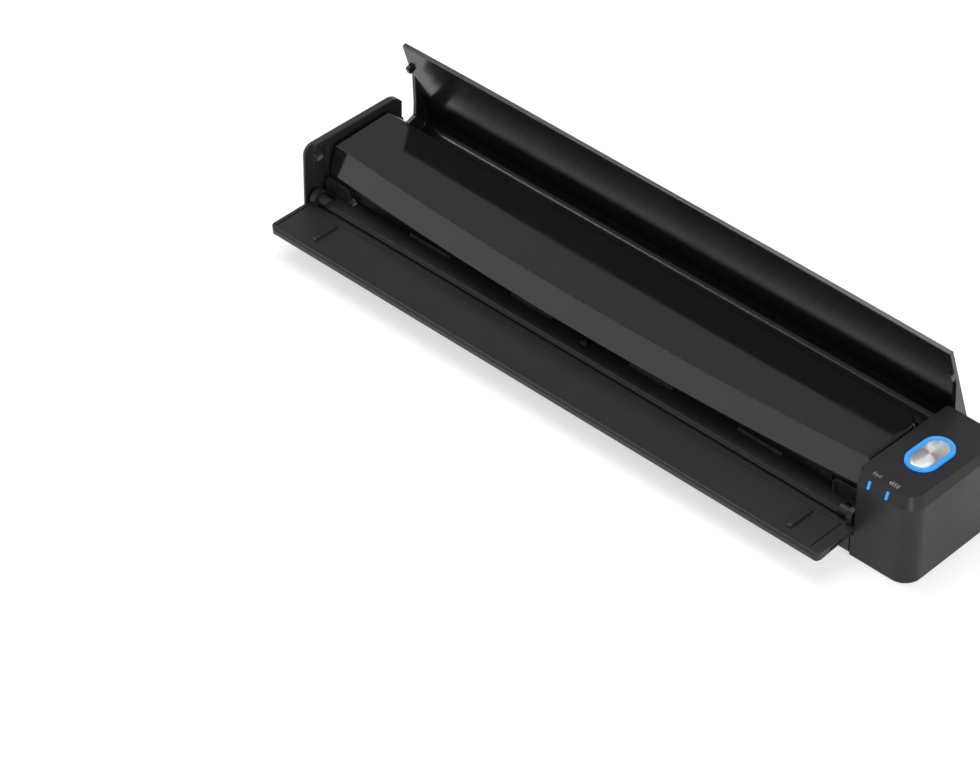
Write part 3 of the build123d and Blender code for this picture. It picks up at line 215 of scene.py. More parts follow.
def put(tree, kind, inputs=None, **settings):
    """Adds a node. Inputs are values or the sockets that feed them."""
    node = tree.nodes.new(kind)
    for name, value in settings.items():
        setattr(node, name, value)
    for key, value in (inputs or {}).items():
        if isinstance(value, bpy.types.NodeSocket):
            tree.links.new(value, node.inputs[key])
        else:
            node.inputs[key].default_value = value
    return node


def new_group(name, inputs, outputs):
    """Starts a shared effect with named inputs and outputs. Returns its tree, input and output node."""
    tree = bpy.data.node_groups.new(name, "ShaderNodeTree")
    for label, kind, value in inputs:
        socket = tree.interface.new_socket(label, in_out="INPUT", socket_type=kind)
        if value is not None:
            socket.default_value = value
    for label, kind in outputs:
        tree.interface.new_socket(label, in_out="OUTPUT", socket_type=kind)
    return tree, tree.nodes.new("NodeGroupInput"), tree.nodes.new("NodeGroupOutput")


def moulded_grain():
    """Fine spark-eroded texture of moulded plastic, as a height and as a small change of gloss."""
    name = "moulded grain"
    if name in bpy.data.node_groups:
        return bpy.data.node_groups[name]
    tree, given, out = new_group(
        name,
        [("Vector", "NodeSocketVector", None), ("Scale", "NodeSocketFloat", 2600.0)],
        [("Height", "NodeSocketFloat"), ("Gloss", "NodeSocketFloat")],
    )
    fine = put(
        tree,
        "ShaderNodeTexNoise",
        {
            "Vector": given.outputs["Vector"],
            "Scale": given.outputs["Scale"],
            "Detail": 2.0,
            "Roughness": 0.6,
        },
    )
    broad = put(
        tree, "ShaderNodeTexNoise", {"Vector": given.outputs["Vector"], "Scale": 60.0, "Detail": 3.0}
    )
    gloss = put(
        tree,
        "ShaderNodeMapRange",
        {"Value": broad.outputs["Fac"], "From Min": 0.3, "From Max": 0.7, "To Min": -0.04, "To Max": 0.05},
    )
    tree.links.new(fine.outputs["Fac"], out.inputs["Height"])
    tree.links.new(gloss.outputs["Result"], out.inputs["Gloss"])
    return tree


def softened_edges():
    """Normal of a surface whose sharp edges are rounded off a little."""
    name = "softened edges"
    if name in bpy.data.node_groups:
        return bpy.data.node_groups[name]
    tree, given, out = new_group(
        name, [("Radius", "NodeSocketFloat", 0.3 * MM)], [("Normal", "NodeSocketVector")]
    )
    edge = put(tree, "ShaderNodeBevel", {"Radius": given.outputs["Radius"]}, samples=4)
    tree.links.new(edge.outputs["Normal"], out.inputs["Normal"])
    return tree


def handling_marks():
    """Faint smudges and settled dust, as a mask from 0 to 1."""
    name = "handling marks"
    if name in bpy.data.node_groups:
        return bpy.data.node_groups[name]
    tree, given, out = new_group(
        name,
        [("Vector", "NodeSocketVector", None), ("Amount", "NodeSocketFloat", 0.5)],
        [("Smudge", "NodeSocketFloat"), ("Dust", "NodeSocketFloat")],
    )
    cloud = put(
        tree,
        "ShaderNodeTexNoise",
        {
            "Vector": given.outputs["Vector"],
            "Scale": 38.0,
            "Detail": 5.0,
            "Roughness": 0.62,
            "Distortion": 0.7,
        },
    )
    smudge = put(
        tree,
        "ShaderNodeMapRange",
        {
            "Value": cloud.outputs["Fac"],
            "From Min": 0.48,
            "From Max": 0.74,
            "To Max": given.outputs["Amount"],
        },
    )
    specks = put(
        tree,
        "ShaderNodeTexVoronoi",
        {"Vector": given.outputs["Vector"], "Scale": 420.0, "Randomness": 1.0},
        feature="F1",
    )
    dust = put(
        tree,
        "ShaderNodeMapRange",
        {
            "Value": specks.outputs["Distance"],
            "From Min": 0.045,
            "From Max": 0.02,
            "To Max": given.outputs["Amount"],
        },
    )
    tree.links.new(smudge.outputs["Result"], out.inputs["Smudge"])
    tree.links.new(dust.outputs["Result"], out.inputs["Dust"])
    return tree


def start_material(name):
    """An empty material with its output, its shader and the object's own coordinates."""
    material = bpy.data.materials.new(name)
    material.use_nodes = True
    tree = material.node_tree
    tree.nodes.clear()
    output = tree.nodes.new("ShaderNodeOutputMaterial")
    shader = tree.nodes.new("ShaderNodeBsdfPrincipled")
    tree.links.new(shader.outputs["BSDF"], output.inputs["Surface"])
    place = tree.nodes.new("ShaderNodeTexCoord").outputs["Object"]
    return material, tree, shader, place


def use_group(tree, group, inputs):
    """Places a shared effect in a material with its own values."""
    return put(tree, "ShaderNodeGroup", inputs, node_tree=group)


def shade(colour, share, lift=0.0):
    """A darker or lighter form of a colour."""
    return tuple(min(1.0, part * share + lift) for part in colour)


def blend(tree, mask, first, second):
    """Mixes two colours by a mask. Returns the socket of the mixed colour."""
    mix = put(tree, "ShaderNodeMix", {"Factor": mask}, data_type="RGBA")
    mix.inputs[MIX_FIRST].default_value = (*first, 1.0)
    mix.inputs[MIX_SECOND].default_value = (*second, 1.0)
    return mix.outputs[MIX_RESULT]


def satin_plastic(name, colour, roughness, grain=2600.0, relief=0.12, edge=0.3 * MM, level=0.4):
    """Moulded plastic with a fine grain, softened edges and slight handling marks.

    grain is the grain's fineness, relief its strength, edge the radius of the edges and level the sheen."""
    material, tree, shader, place = start_material(name)
    texture = use_group(tree, moulded_grain(), {"Vector": place, "Scale": grain})
    marks = use_group(tree, handling_marks(), {"Vector": place, "Amount": 0.35})
    tint = blend(tree, marks.outputs["Smudge"], colour, shade(colour, 1.35, lift=0.002))
    tree.links.new(tint, shader.inputs["Base Color"])
    gloss = put(tree, "ShaderNodeMath", {0: texture.outputs["Gloss"], 1: roughness}, operation="ADD")
    tree.links.new(gloss.outputs[0], shader.inputs["Roughness"])
    rounded = use_group(tree, softened_edges(), {"Radius": edge})
    bump = put(
        tree,
        "ShaderNodeBump",
        {
            "Height": texture.outputs["Height"],
            "Strength": relief,
            "Distance": 0.1 * MM,
            "Normal": rounded.outputs["Normal"],
        },
    )
    tree.links.new(bump.outputs["Normal"], shader.inputs["Normal"])
    shader.inputs["Specular IOR Level"].default_value = level
    return material


def polished_plastic(name, colour, roughness=0.07):
    """Deep glossy plastic with faint smudges and a few specks of dust."""
    material, tree, shader, place = start_material(name)
    marks = use_group(tree, handling_marks(), {"Vector": place, "Amount": 0.6})
    tint = blend(tree, marks.outputs["Dust"], colour, shade(colour, 1.0, lift=0.05))
    tree.links.new(tint, shader.inputs["Base Color"])
    gloss = put(
        tree,
        "ShaderNodeMapRange",
        {"Value": marks.outputs["Smudge"], "To Min": roughness, "To Max": roughness + 0.1},
    )
    tree.links.new(gloss.outputs["Result"], shader.inputs["Roughness"])
    wave = put(tree, "ShaderNodeTexNoise", {"Vector": place, "Scale": 70.0, "Detail": 1.0})
    rounded = use_group(tree, softened_edges(), {"Radius": 0.4 * MM})
    bump = put(
        tree,
        "ShaderNodeBump",
        {
            "Height": wave.outputs["Fac"],
            "Strength": 0.05,
            "Distance": 0.2 * MM,
            "Normal": rounded.outputs["Normal"],
        },
    )
    tree.links.new(bump.outputs["Normal"], shader.inputs["Normal"])
    shader.inputs["IOR"].default_value = 1.5
    return material


def turned_metal(name, colour, roughness, line_scale=2500.0):
    """Turned or rolled metal with fine lines across the bar."""
    material, tree, shader, place = start_material(name)
    stretch = put(tree, "ShaderNodeMapping", {"Vector": place, "Scale": (1.0, 0.02, 0.02)})
    lines = put(
        tree,
        "ShaderNodeTexNoise",
        {"Vector": stretch.outputs["Vector"], "Scale": line_scale, "Detail": 2.0},
    )
    tint = blend(tree, lines.outputs["Fac"], shade(colour, 0.82), shade(colour, 1.1))
    tree.links.new(tint, shader.inputs["Base Color"])
    gloss = put(
        tree,
        "ShaderNodeMapRange",
        {"Value": lines.outputs["Fac"], "To Min": roughness - 0.06, "To Max": roughness + 0.1},
    )
    tree.links.new(gloss.outputs["Result"], shader.inputs["Roughness"])
    bump = put(
        tree, "ShaderNodeBump", {"Height": lines.outputs["Fac"], "Strength": 0.1, "Distance": 0.1 * MM}
    )
    tree.links.new(bump.outputs["Normal"], shader.inputs["Normal"])
    shader.inputs["Metallic"].default_value = 1.0
    return material


def spun_metal(name, colour, centre):
    """Spun aluminium: fine grooves round the middle of the cap, which catch the light as a fan."""
    material, tree, shader, place = start_material(name)
    centred = put(tree, "ShaderNodeMapping", {"Vector": place, "Location": (-centre.x, -centre.y, 0.0)})
    parts = put(tree, "ShaderNodeSeparateXYZ", {"Vector": centred.outputs["Vector"]})
    flat = put(tree, "ShaderNodeCombineXYZ", {"X": parts.outputs["X"], "Y": parts.outputs["Y"]})
    radius = put(tree, "ShaderNodeVectorMath", {0: flat.outputs["Vector"]}, operation="LENGTH")
    outward = put(tree, "ShaderNodeVectorMath", {0: flat.outputs["Vector"]}, operation="NORMALIZE")
    turns = put(
        tree, "ShaderNodeMath", {0: radius.outputs["Value"], 1: GROOVE_WAVE}, operation="MULTIPLY"
    )
    wave = put(tree, "ShaderNodeMath", {0: turns.outputs[0]}, operation="SINE")
    uneven = put(tree, "ShaderNodeTexNoise", {"Vector": place, "Scale": 900.0, "Detail": 1.0})
    depth = put(
        tree, "ShaderNodeMapRange", {"Value": uneven.outputs["Fac"], "To Min": 0.15, "To Max": 0.45}
    )
    slope = put(
        tree, "ShaderNodeMath", {0: wave.outputs[0], 1: depth.outputs["Result"]}, operation="MULTIPLY"
    )
    lean = put(tree, "ShaderNodeVectorMath", {0: outward.outputs["Vector"]}, operation="SCALE")
    tree.links.new(slope.outputs[0], lean.inputs["Scale"])
    surface = put(tree, "ShaderNodeNewGeometry")
    tilted = put(
        tree,
        "ShaderNodeVectorMath",
        {0: surface.outputs["Normal"], 1: lean.outputs["Vector"]},
        operation="ADD",
    )
    normal = put(tree, "ShaderNodeVectorMath", {0: tilted.outputs["Vector"]}, operation="NORMALIZE")
    tree.links.new(normal.outputs["Vector"], shader.inputs["Normal"])
    tint = blend(tree, uneven.outputs["Fac"], shade(colour, 0.9), colour)
    tree.links.new(tint, shader.inputs["Base Color"])
    shader.inputs["Metallic"].default_value = 1.0
    shader.inputs["Roughness"].default_value = 0.28
    return material


def printed_ink(name, colour):
    """Pale ink of the printed symbols, slightly uneven."""
    material, tree, shader, place = start_material(name)
    grit = put(tree, "ShaderNodeTexNoise", {"Vector": place, "Scale": 3000.0, "Detail": 2.0})
    tint = blend(tree, grit.outputs["Fac"], shade(colour, 0.8), colour)
    tree.links.new(tint, shader.inputs["Base Color"])
    shader.inputs["Roughness"].default_value = 0.6
    return material


def glowing_plastic(name, colour, strength):
    """Frosted light guide, lit from below."""
    material, tree, shader, place = start_material(name)
    cloud = put(tree, "ShaderNodeTexNoise", {"Vector": place, "Scale": 400.0, "Detail": 3.0})
    tint = blend(tree, cloud.outputs["Fac"], colour, shade(colour, 1.1, lift=0.01))
    tree.links.new(tint, shader.inputs["Emission Color"])
    frost = put(tree, "ShaderNodeMapRange", {"Value": cloud.outputs["Fac"], "To Min": 0.28, "To Max": 0.42})
    tree.links.new(frost.outputs["Result"], shader.inputs["Roughness"])
    shader.inputs["Base Color"].default_value = (*shade(colour, 0.15), 1.0)
    shader.inputs["Emission Strength"].default_value = strength
    return material


def clear_glass(name):
    """Thin clear glass over the sensor."""
    material, tree, shader, place = start_material(name)
    film = put(tree, "ShaderNodeTexNoise", {"Vector": place, "Scale": 50.0, "Detail": 2.0})
    gloss = put(tree, "ShaderNodeMapRange", {"Value": film.outputs["Fac"], "To Min": 0.02, "To Max": 0.08})
    tree.links.new(gloss.outputs["Result"], shader.inputs["Roughness"])
    shader.inputs["Base Color"].default_value = (0.85, 0.92, 0.95, 1.0)
    shader.inputs["Transmission Weight"].default_value = 0.9
    shader.inputs["IOR"].default_value = 1.45
    return material


SLOT_MATERIALS = {}


def make_materials(finish):
    """One material for each of the record's material slots."""
    case = tuple(finish.case_colour)
    SLOT_MATERIALS.update(
        case_black=satin_plastic("case_black", case, 0.4, level=0.3),
        block_black=satin_plastic("block_black", tuple(finish.block_colour), 0.36, level=0.25),
        panel_black=satin_plastic("panel_black", shade(case, 0.8), 0.5, level=0.3),
        rubber_black=satin_plastic("rubber_black", shade(case, 0.9), 0.75, grain=1200.0, relief=0.3),
        tyre_grey=satin_plastic("tyre_grey", (0.05, 0.05, 0.052), 0.8, grain=1500.0, relief=0.4),
        guide_gloss=polished_plastic("guide_gloss", shade(case, 0.7), 0.16),
        cover_gloss=polished_plastic("cover_gloss", tuple(finish.gloss_colour)),
        gear_white=satin_plastic("gear_white", (0.62, 0.6, 0.55), 0.45, grain=900.0, relief=0.08),
        backing_white=satin_plastic("backing_white", (0.75, 0.75, 0.74), 0.35, grain=900.0, relief=0.05),
        board_green=satin_plastic("board_green", (0.01, 0.09, 0.04), 0.35, grain=700.0, relief=0.1),
        battery_wrap=satin_plastic("battery_wrap", (0.03, 0.05, 0.14), 0.3, grain=500.0, relief=0.1),
        steel_plate=turned_metal("steel_plate", (0.55, 0.55, 0.56), 0.35),
        steel_bright=turned_metal("steel_bright", (0.66, 0.66, 0.68), 0.22),
        bush_bronze=turned_metal("bush_bronze", (0.55, 0.36, 0.16), 0.35),
        button_silver=spun_metal("button_silver", (0.66, 0.67, 0.67), middle_of("scan_button_cap")),
        light_blue=glowing_plastic("light_blue", tuple(finish.glow_colour), finish.glow_strength),
        sensor_glass=clear_glass("sensor_glass"),
    )


def dress_nodes(finish):
    """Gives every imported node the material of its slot, and the cheek its rounder edges."""
    slot_of = {part["node"]: part["material_slot"] for part in frame["record"]["subparts"]}
    for name, node in NODES.items():
        node.data.materials.clear()
        node.data.materials.append(SLOT_MATERIALS[slot_of[name]])
    NODES["left_cheek"].data.materials[0] = satin_plastic(
        "cheek_black", tuple(finish.case_colour), 0.36, edge=1.1 * MM, level=0.45
    )


# ---- shapes ----


def middle_of(node):
    """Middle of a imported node's box."""
    low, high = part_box(node)
    return (low + high) / 2


def top_at(y):
    """Height of the sloping top of the closed bar."""
    return TOP_HEIGHT - (y - TOP_FRONT) * TOP_FALL


def lean_with_top(shape, y):
    """Leans a shape drawn level so that it follows the sloping top. It keeps its height at y."""
    lean = Matrix.Identity(4)
    lean[2][1] = -TOP_FALL
    lean[2][3] = y * TOP_FALL
    bmesh.ops.transform(shape, matrix=lean, verts=shape.verts)


def points_in(geometry):
    """The points among what an operator made."""
    return [part for part in geometry if isinstance(part, bmesh.types.BMVert)]


def faces_in(geometry):
    """The faces among what an operator made."""
    return [part for part in geometry if isinstance(part, bmesh.types.BMFace)]


def pill_loop(shape, centre, radius, reach, filled=False, segments=64):
    """A level loop with two straight sides along Y and two round ends."""
    loop = bmesh.ops.create_circle(shape, cap_ends=filled, segments=segments, radius=radius)["verts"]
    for side in (1, -1):
        half = [v for v in loop if v.co.y * side > SAME_POINT]
        bmesh.ops.translate(shape, verts=half, vec=(0.0, side * reach, 0.0))
    bmesh.ops.translate(shape, verts=loop, vec=centre)
    return loop


def raise_faces(shape, faces, height):
    """Gives flat faces a thickness upwards. Returns the new upper faces."""
    out = bmesh.ops.extrude_face_region(shape, geom=list(faces), use_keep_orig=True)["geom"]
    bmesh.ops.translate(shape, verts=points_in(out), vec=(0, 0, height))
    return faces_in(out)


def round_edges(shape, edges, width, segments=3):
    """Rounds off edges."""
    bmesh.ops.bevel(
        shape,
        geom=list(edges),
        offset=width,
        offset_type="OFFSET",
        segments=segments,
        profile=0.5,
        affect="EDGES",
        clamp_overlap=True,
        material=-1,
    )


def highest_face(shape):
    """The face whose middle lies highest."""
    return max(shape.faces, key=lambda f: f.calc_center_median().z)


def flat_bar(shape, x, y, z, width, length):
    """A level rectangle."""
    made = bmesh.ops.create_grid(shape, x_segments=1, y_segments=1, size=0.5)["verts"]
    bmesh.ops.scale(shape, verts=made, vec=(width, length, 1.0))
    bmesh.ops.translate(shape, verts=made, vec=(x, y, z))
    return made


def block(shape, x, y, z, width, length, height):
    """An upright block on a level rectangle."""
    corners = flat_bar(shape, x, y, z, width, length)
    raise_faces(shape, corners[0].link_faces, height)


def flat_arc(shape, centre, radius, width, middle, spread):
    """A level strip bent round a centre. middle and spread are angles in degrees."""
    start = math.radians(middle - spread / 2)
    ends = []
    for away in (radius - width / 2, radius + width / 2):
        place = centre + Vector((math.cos(start), math.sin(start), 0.0)) * away
        ends.append(bmesh.ops.create_vert(shape, co=place)["vert"][0])
    edge = shape.edges.new(ends)
    bmesh.ops.spin(
        shape,
        geom=[*ends, edge],
        cent=centre,
        axis=(0.0, 0.0, 1.0),
        angle=math.radians(spread),
        steps=8,
        use_merge=False,
        use_duplicate=False,
    )


def append_shape(shape, part):
    """Adds a part to a shape and frees the part."""
    copy = bpy.data.meshes.new("copy")
    part.to_mesh(copy)
    part.free()
    shape.from_mesh(copy)
    bpy.data.meshes.remove(copy)


def loose_parts(node):
    """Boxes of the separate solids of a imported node."""
    shape = bmesh.new()
    shape.from_mesh(NODES[node].data)
    bmesh.ops.remove_doubles(shape, verts=shape.verts, dist=PACKED_SAME_POINT)
    left = set(shape.verts)
    boxes = []
    while left:
        todo, found = [left.pop()], []
        while todo:
            vert = todo.pop()
            found.append(vert.co.copy())
            for edge in vert.link_edges:
                other = edge.other_vert(vert)
                if other in left:
                    left.remove(other)
                    todo.append(other)
        low = Vector([min(co[k] for co in found) for k in range(3)])
        high = Vector([max(co[k] for co in found) for k in range(3)])
        boxes.append((low, high))
    shape.free()
    return sorted(boxes, key=lambda pair: tuple(pair[0]))


def finish_piece(shape, name, slot, body, *nodes, smooth=38.0, material=None):
    """Makes the object of a shape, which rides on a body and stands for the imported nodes."""
    bmesh.ops.remove_doubles(shape, verts=shape.verts, dist=SAME_POINT)
    bmesh.ops.recalc_face_normals(shape, faces=shape.faces)
    mesh = bpy.data.meshes.new(name)
    shape.to_mesh(mesh)
    shape.free()
    mesh.materials.append(material or SLOT_MATERIALS[slot])
    mesh.polygons.foreach_set("use_smooth", [True] * len(mesh.polygons))
    mesh.set_sharp_from_angle(angle=math.radians(smooth))
    piece = bpy.data.objects.new(name, mesh)
    bpy.context.scene.collection.objects.link(piece)
    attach(piece, body)
    if nodes:
        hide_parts(*nodes)
    return piece


def body_of(node):
    """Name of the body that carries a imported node."""
    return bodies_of(NODES[node])[0]


# ---- pieces ----


class SCANNER_OT_scan_button(bpy.types.Operator):
    """Makes the domed cap of the scan button"""

    bl_idname = "scanner.scan_button"
    bl_label = "Scan button"

    def execute(self, context):
        # the cap above the case, its gap at the foot and the rounding of its rim
        proud, foot_gap, rounding = 0.85 * MM, 0.1 * MM, 0.5 * MM
        # the dome: its height, the width of its bands and the rise of each band
        dome, band = 0.1 * MM, 0.7 * MM
        rises = (0.05, 0.03, 0.016, 0.008, 0.004)
        low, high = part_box("scan_button_cap")
        radius = (high.x - low.x) / 2
        reach = (high.y - low.y) / 2 - radius
        middle = (low + high) / 2
        crown = top_at(middle.y) + proud
        foot = low.z + foot_gap
        shape = bmesh.new()
        pill_loop(shape, (middle.x, middle.y, foot), radius, reach, filled=True)
        top = raise_faces(shape, shape.faces, crown - dome - foot)
        round_edges(shape, top[0].edges, rounding, 5)
        crest = highest_face(shape)
        for rise in rises:
            bmesh.ops.inset_individual(shape, faces=[crest], thickness=band, depth=rise * MM)
        lean_with_top(shape, middle.y)
        finish_piece(shape, "scan_cap", "button_silver", body_of("scan_button_cap"), "scan_button_cap")
        return {"FINISHED"}


class SCANNER_OT_glow_ring(bpy.types.Operator):
    """Makes the rounded ring of light round the scan button"""

    bl_idname = "scanner.glow_ring"
    bl_label = "Glow ring"

    def execute(self, context):
        proud, cap_gap, rounding = 1.1 * MM, 0.15 * MM, 0.42 * MM
        flange, flange_height = 0.8 * MM, 1.0 * MM
        sharp_edge = math.radians(57)
        low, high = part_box("light_ring")
        cap_low, cap_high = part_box("scan_button_cap")
        middle = (low + high) / 2
        outer = (high.x - low.x) / 2 - flange
        inner = (cap_high.x - cap_low.x) / 2 + cap_gap
        reach = (high.y - low.y) / 2 - flange - outer
        crown = top_at(middle.y) + proud
        shape = bmesh.new()
        for radius in (outer, inner):
            pill_loop(shape, (middle.x, middle.y, low.z + flange_height), radius, reach)
        bmesh.ops.bridge_loops(shape, edges=shape.edges)
        top = raise_faces(shape, shape.faces, crown - low.z - flange_height)
        rims = {edge for face in top for edge in face.edges if len(edge.link_faces) == 2}
        rims = [edge for edge in rims if edge.calc_face_angle() > sharp_edge]
        round_edges(shape, rims, rounding, 4)
        # the flange that holds the ring under the casing
        loops = []
        for radius in (outer + flange, inner):
            loops += pill_loop(shape, (middle.x, middle.y, low.z), radius, reach)
        edges = {edge for vert in loops for edge in vert.link_edges}
        band = bmesh.ops.bridge_loops(shape, edges=list(edges))["faces"]
        raise_faces(shape, band, flange_height)
        lean_with_top(shape, middle.y)
        finish_piece(shape, "glow_ring", "light_blue", body_of("light_ring"), "light_ring")
        return {"FINISHED"}


class SCANNER_OT_lamps(bpy.types.Operator):
    """Makes the lenses of the two lamps in the block's front bevel"""

    bl_idname = "scanner.lamps"
    bl_label = "Lamps"

    def execute(self, context):
        radius, thickness, rounding = 0.5 * MM, 1.2 * MM, 0.18 * MM
        # the guide behind a lens: its section, and its start behind the face and below the middle
        width, height, behind, below = 0.9 * MM, 1.6 * MM, 0.6 * MM, 0.5 * MM
        shape = bmesh.new()
        slope = math.atan2(BEVEL_IN, BEVEL_DOWN)
        for low, high in loose_parts("light_bars"):
            x, z = (low.x + high.x) / 2, high.z - LAMP_HEIGHT / 2
            y = TOP_FRONT + BEVEL_IN * (z - TOP_HEIGHT + BEVEL_DOWN) / BEVEL_DOWN
            lens = bmesh.new()
            reach = LAMP_HEIGHT / math.cos(slope) / 2 - radius
            pill_loop(lens, (0.0, 0.0, 0.0), radius, reach, filled=True, segments=24)
            top = raise_faces(lens, lens.faces, thickness)
            round_edges(lens, top[0].edges, rounding, 3)
            turn = Matrix.Rotation(QUARTER_TURN - slope, 4, "X")
            place = Matrix.Translation((x, y, z)) @ turn @ Matrix.Translation((0.0, 0.0, -thickness))
            bmesh.ops.transform(lens, matrix=place, verts=lens.verts)
            append_shape(shape, lens)
            block(shape, x, (y + high.y + behind) / 2, z - below, width, high.y - y - behind, height)
            # its leg down to the board
            block(shape, x, high.y - width / 2, low.z, width, width, z - low.z)
        finish_piece(shape, "lamp_lenses", "light_blue", body_of("light_bars"), "light_bars")
        return {"FINISHED"}


def wireless_shape(shape, centre):
    """A dot on a stem, between two pairs of arcs."""
    dot, stem_width, stem_length, stem_drop = 0.26 * MM, 0.2 * MM, 1.0 * MM, 0.75 * MM
    pill_loop(shape, centre, dot, 0.0, filled=True, segments=16)
    flat_bar(shape, centre.x, centre.y - stem_drop, centre.z, stem_width, stem_length)
    line, spread = 0.17 * MM, 80.0
    for side in (0.0, 180.0):
        for radius in (0.85 * MM, 1.5 * MM):
            flat_arc(shape, centre, radius, line, side, spread)


def battery_shape(shape, centre):
    """A frame with a nub on its left and three bars inside."""
    width, height, line = 3.3 * MM, 1.9 * MM, 0.16 * MM
    frame_shift, nub_shift, nub_height = 0.15 * MM, -1.7 * MM, 0.9 * MM
    bar_width, bar_height = 0.4 * MM, 1.0 * MM
    outline = flat_bar(shape, centre.x + frame_shift, centre.y, centre.z, width, height)
    face = outline[0].link_faces[0]
    bmesh.ops.inset_individual(shape, faces=[face], thickness=line)
    bmesh.ops.delete(shape, geom=[face], context="FACES_ONLY")
    flat_bar(shape, centre.x + nub_shift, centre.y, centre.z, bar_width, nub_height)
    for step in (-0.75 * MM, 0.2 * MM, 1.15 * MM):
        flat_bar(shape, centre.x + step, centre.y, centre.z, bar_width, bar_height)


class SCANNER_OT_symbols(bpy.types.Operator):
    """Prints the two generic symbols beside the lamps: wireless and battery"""

    bl_idname = "scanner.symbols"
    bl_label = "Symbols"

    def execute(self, context):
        ink = printed_ink("symbol_ink", (0.34, 0.34, 0.33))
        level = top_at(SYMBOLS_Y) + INK_LIFT
        # each symbol stands behind its lamp, a little inwards from the lamp's outer side
        low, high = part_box("light_bars")
        wireless_in, battery_in = 1.55 * MM, 0.15 * MM
        symbols = (
            ("wireless_symbol", wireless_shape, low.x + wireless_in),
            ("battery_symbol", battery_shape, high.x - battery_in),
        )
        for name, draw, x in symbols:
            shape = bmesh.new()
            draw(shape, Vector((x, SYMBOLS_Y, level)))
            raise_faces(shape, shape.faces, INK_THICKNESS)
            lean_with_top(shape, SYMBOLS_Y)
            finish_piece(shape, name, None, body_of("right_block"), material=ink)
        return {"FINISHED"}


class SCANNER_OT_catch(bpy.types.Operator):
    """Makes the pale catch in the cheek that holds the closed feeding guide"""

    bl_idname = "scanner.catch"
    bl_label = "Catch"

    def execute(self, context):
        radius, reach, stretch = 0.55 * MM, 0.85 * MM, 1.7
        thickness, rounding = 0.5 * MM, 0.15 * MM
        # from the cheek's inner face, from the front edge and from the top
        sunk, back, down = 0.65 * MM, 6.05 * MM, 7.0 * MM
        shape = bmesh.new()
        pill_loop(shape, (0.0, 0.0, 0.0), radius, reach, filled=True, segments=24)
        bmesh.ops.scale(shape, verts=shape.verts, vec=(stretch, 1.0, 1.0))
        top = raise_faces(shape, shape.faces, thickness)
        round_edges(shape, top[0].edges, rounding, 3)
        turn = Matrix.Rotation(QUARTER_TURN, 4, "Y")
        inner_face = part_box("left_cheek")[1].x
        place = Vector((inner_face - sunk, TOP_FRONT + back, TOP_HEIGHT - down))
        bmesh.ops.transform(shape, matrix=Matrix.Translation(place) @ turn, verts=shape.verts)
        pale = satin_plastic("catch_grey", (0.09, 0.09, 0.088), 0.4, level=0.4)
        finish_piece(shape, "cheek_catch", None, body_of("left_cheek"), material=pale)
        return {"FINISHED"}


def crossed_head(shape):
    """Head of a screw that looks down, with a cross recess. Its underside lies at z = 0."""
    arm, slot = HEAD_RADIUS * 0.62, HEAD_RADIUS * 0.13  # half length and half width of the recess
    flat = 0.92  # share of the radius inside the chamfer
    chamfer, recess = HEAD_THICKNESS * 0.2, HEAD_THICKNESS * 0.6
    # a grid of nine fields: the middle one and its four neighbours are the cross
    grid = bmesh.ops.create_grid(shape, x_segments=3, y_segments=3, size=1.5)["verts"]
    for vert in grid:
        for axis in (0, 1):
            reach = arm if abs(vert.co[axis]) > 1.0 else slot
            vert.co[axis] = math.copysign(reach, vert.co[axis])
    cross = [
        face
        for face in shape.faces
        if any(abs(face.calc_center_median()[axis]) < slot / 2 for axis in (0, 1))
    ]
    border = [edge for edge in shape.edges if len(edge.link_faces) == 1]
    circle = bmesh.ops.create_circle(shape, cap_ends=False, segments=24, radius=HEAD_RADIUS * flat)
    rim = list({edge for vert in circle["verts"] for edge in vert.link_edges})
    bmesh.ops.bridge_loops(shape, edges=border + rim)
    for spread, rise in ((1 / flat, chamfer), (1.0, HEAD_THICKNESS - chamfer)):
        wall = points_in(bmesh.ops.extrude_edge_only(shape, edges=rim)["geom"])
        bmesh.ops.scale(shape, verts=wall, vec=(spread, spread, 1.0))
        bmesh.ops.translate(shape, verts=wall, vec=(0, 0, rise))
        rim = [edge for edge in shape.edges if all(vert in wall for vert in edge.verts)]
    bmesh.ops.edgeloop_fill(shape, edges=rim)
    sunk = points_in(bmesh.ops.extrude_face_region(shape, geom=cross)["geom"])
    bmesh.ops.translate(shape, verts=sunk, vec=(0, 0, recess))


def threaded_shank(shape, start, end):
    """Shank of a screw along Z, with a ridge for each turn of its thread."""
    root = 0.8  # share of the radius between two ridges
    circle = bmesh.ops.create_circle(shape, cap_ends=True, segments=20, radius=SHANK_RADIUS * root)
    bmesh.ops.translate(shape, verts=circle["verts"], vec=(0, 0, start))
    face = circle["verts"][0].link_faces[0]
    steps = 2 * max(4, int((end - start) / THREAD_PITCH))
    for step in range(steps):
        face = faces_in(bmesh.ops.extrude_face_region(shape, geom=[face])["geom"])[0]
        bmesh.ops.translate(shape, verts=face.verts[:], vec=(0, 0, (end - start) / steps))
        factor = root if step % 2 else 1 / root
        about = Matrix.Translation(-face.calc_center_median())
        bmesh.ops.scale(shape, verts=face.verts[:], vec=(factor, factor, 1.0), space=about)


def add_screw(shape, place, turn, length):
    """Adds a screw. Its head's underside lies at the place, and turn leads from Z to its own axis."""
    overlap = 0.98  # the shank starts a little inside the head
    screw = bmesh.new()
    crossed_head(screw)
    threaded_shank(screw, HEAD_THICKNESS * overlap, length)
    bmesh.ops.transform(screw, matrix=Matrix.Translation(place) @ turn, verts=screw.verts)
    append_shape(shape, screw)


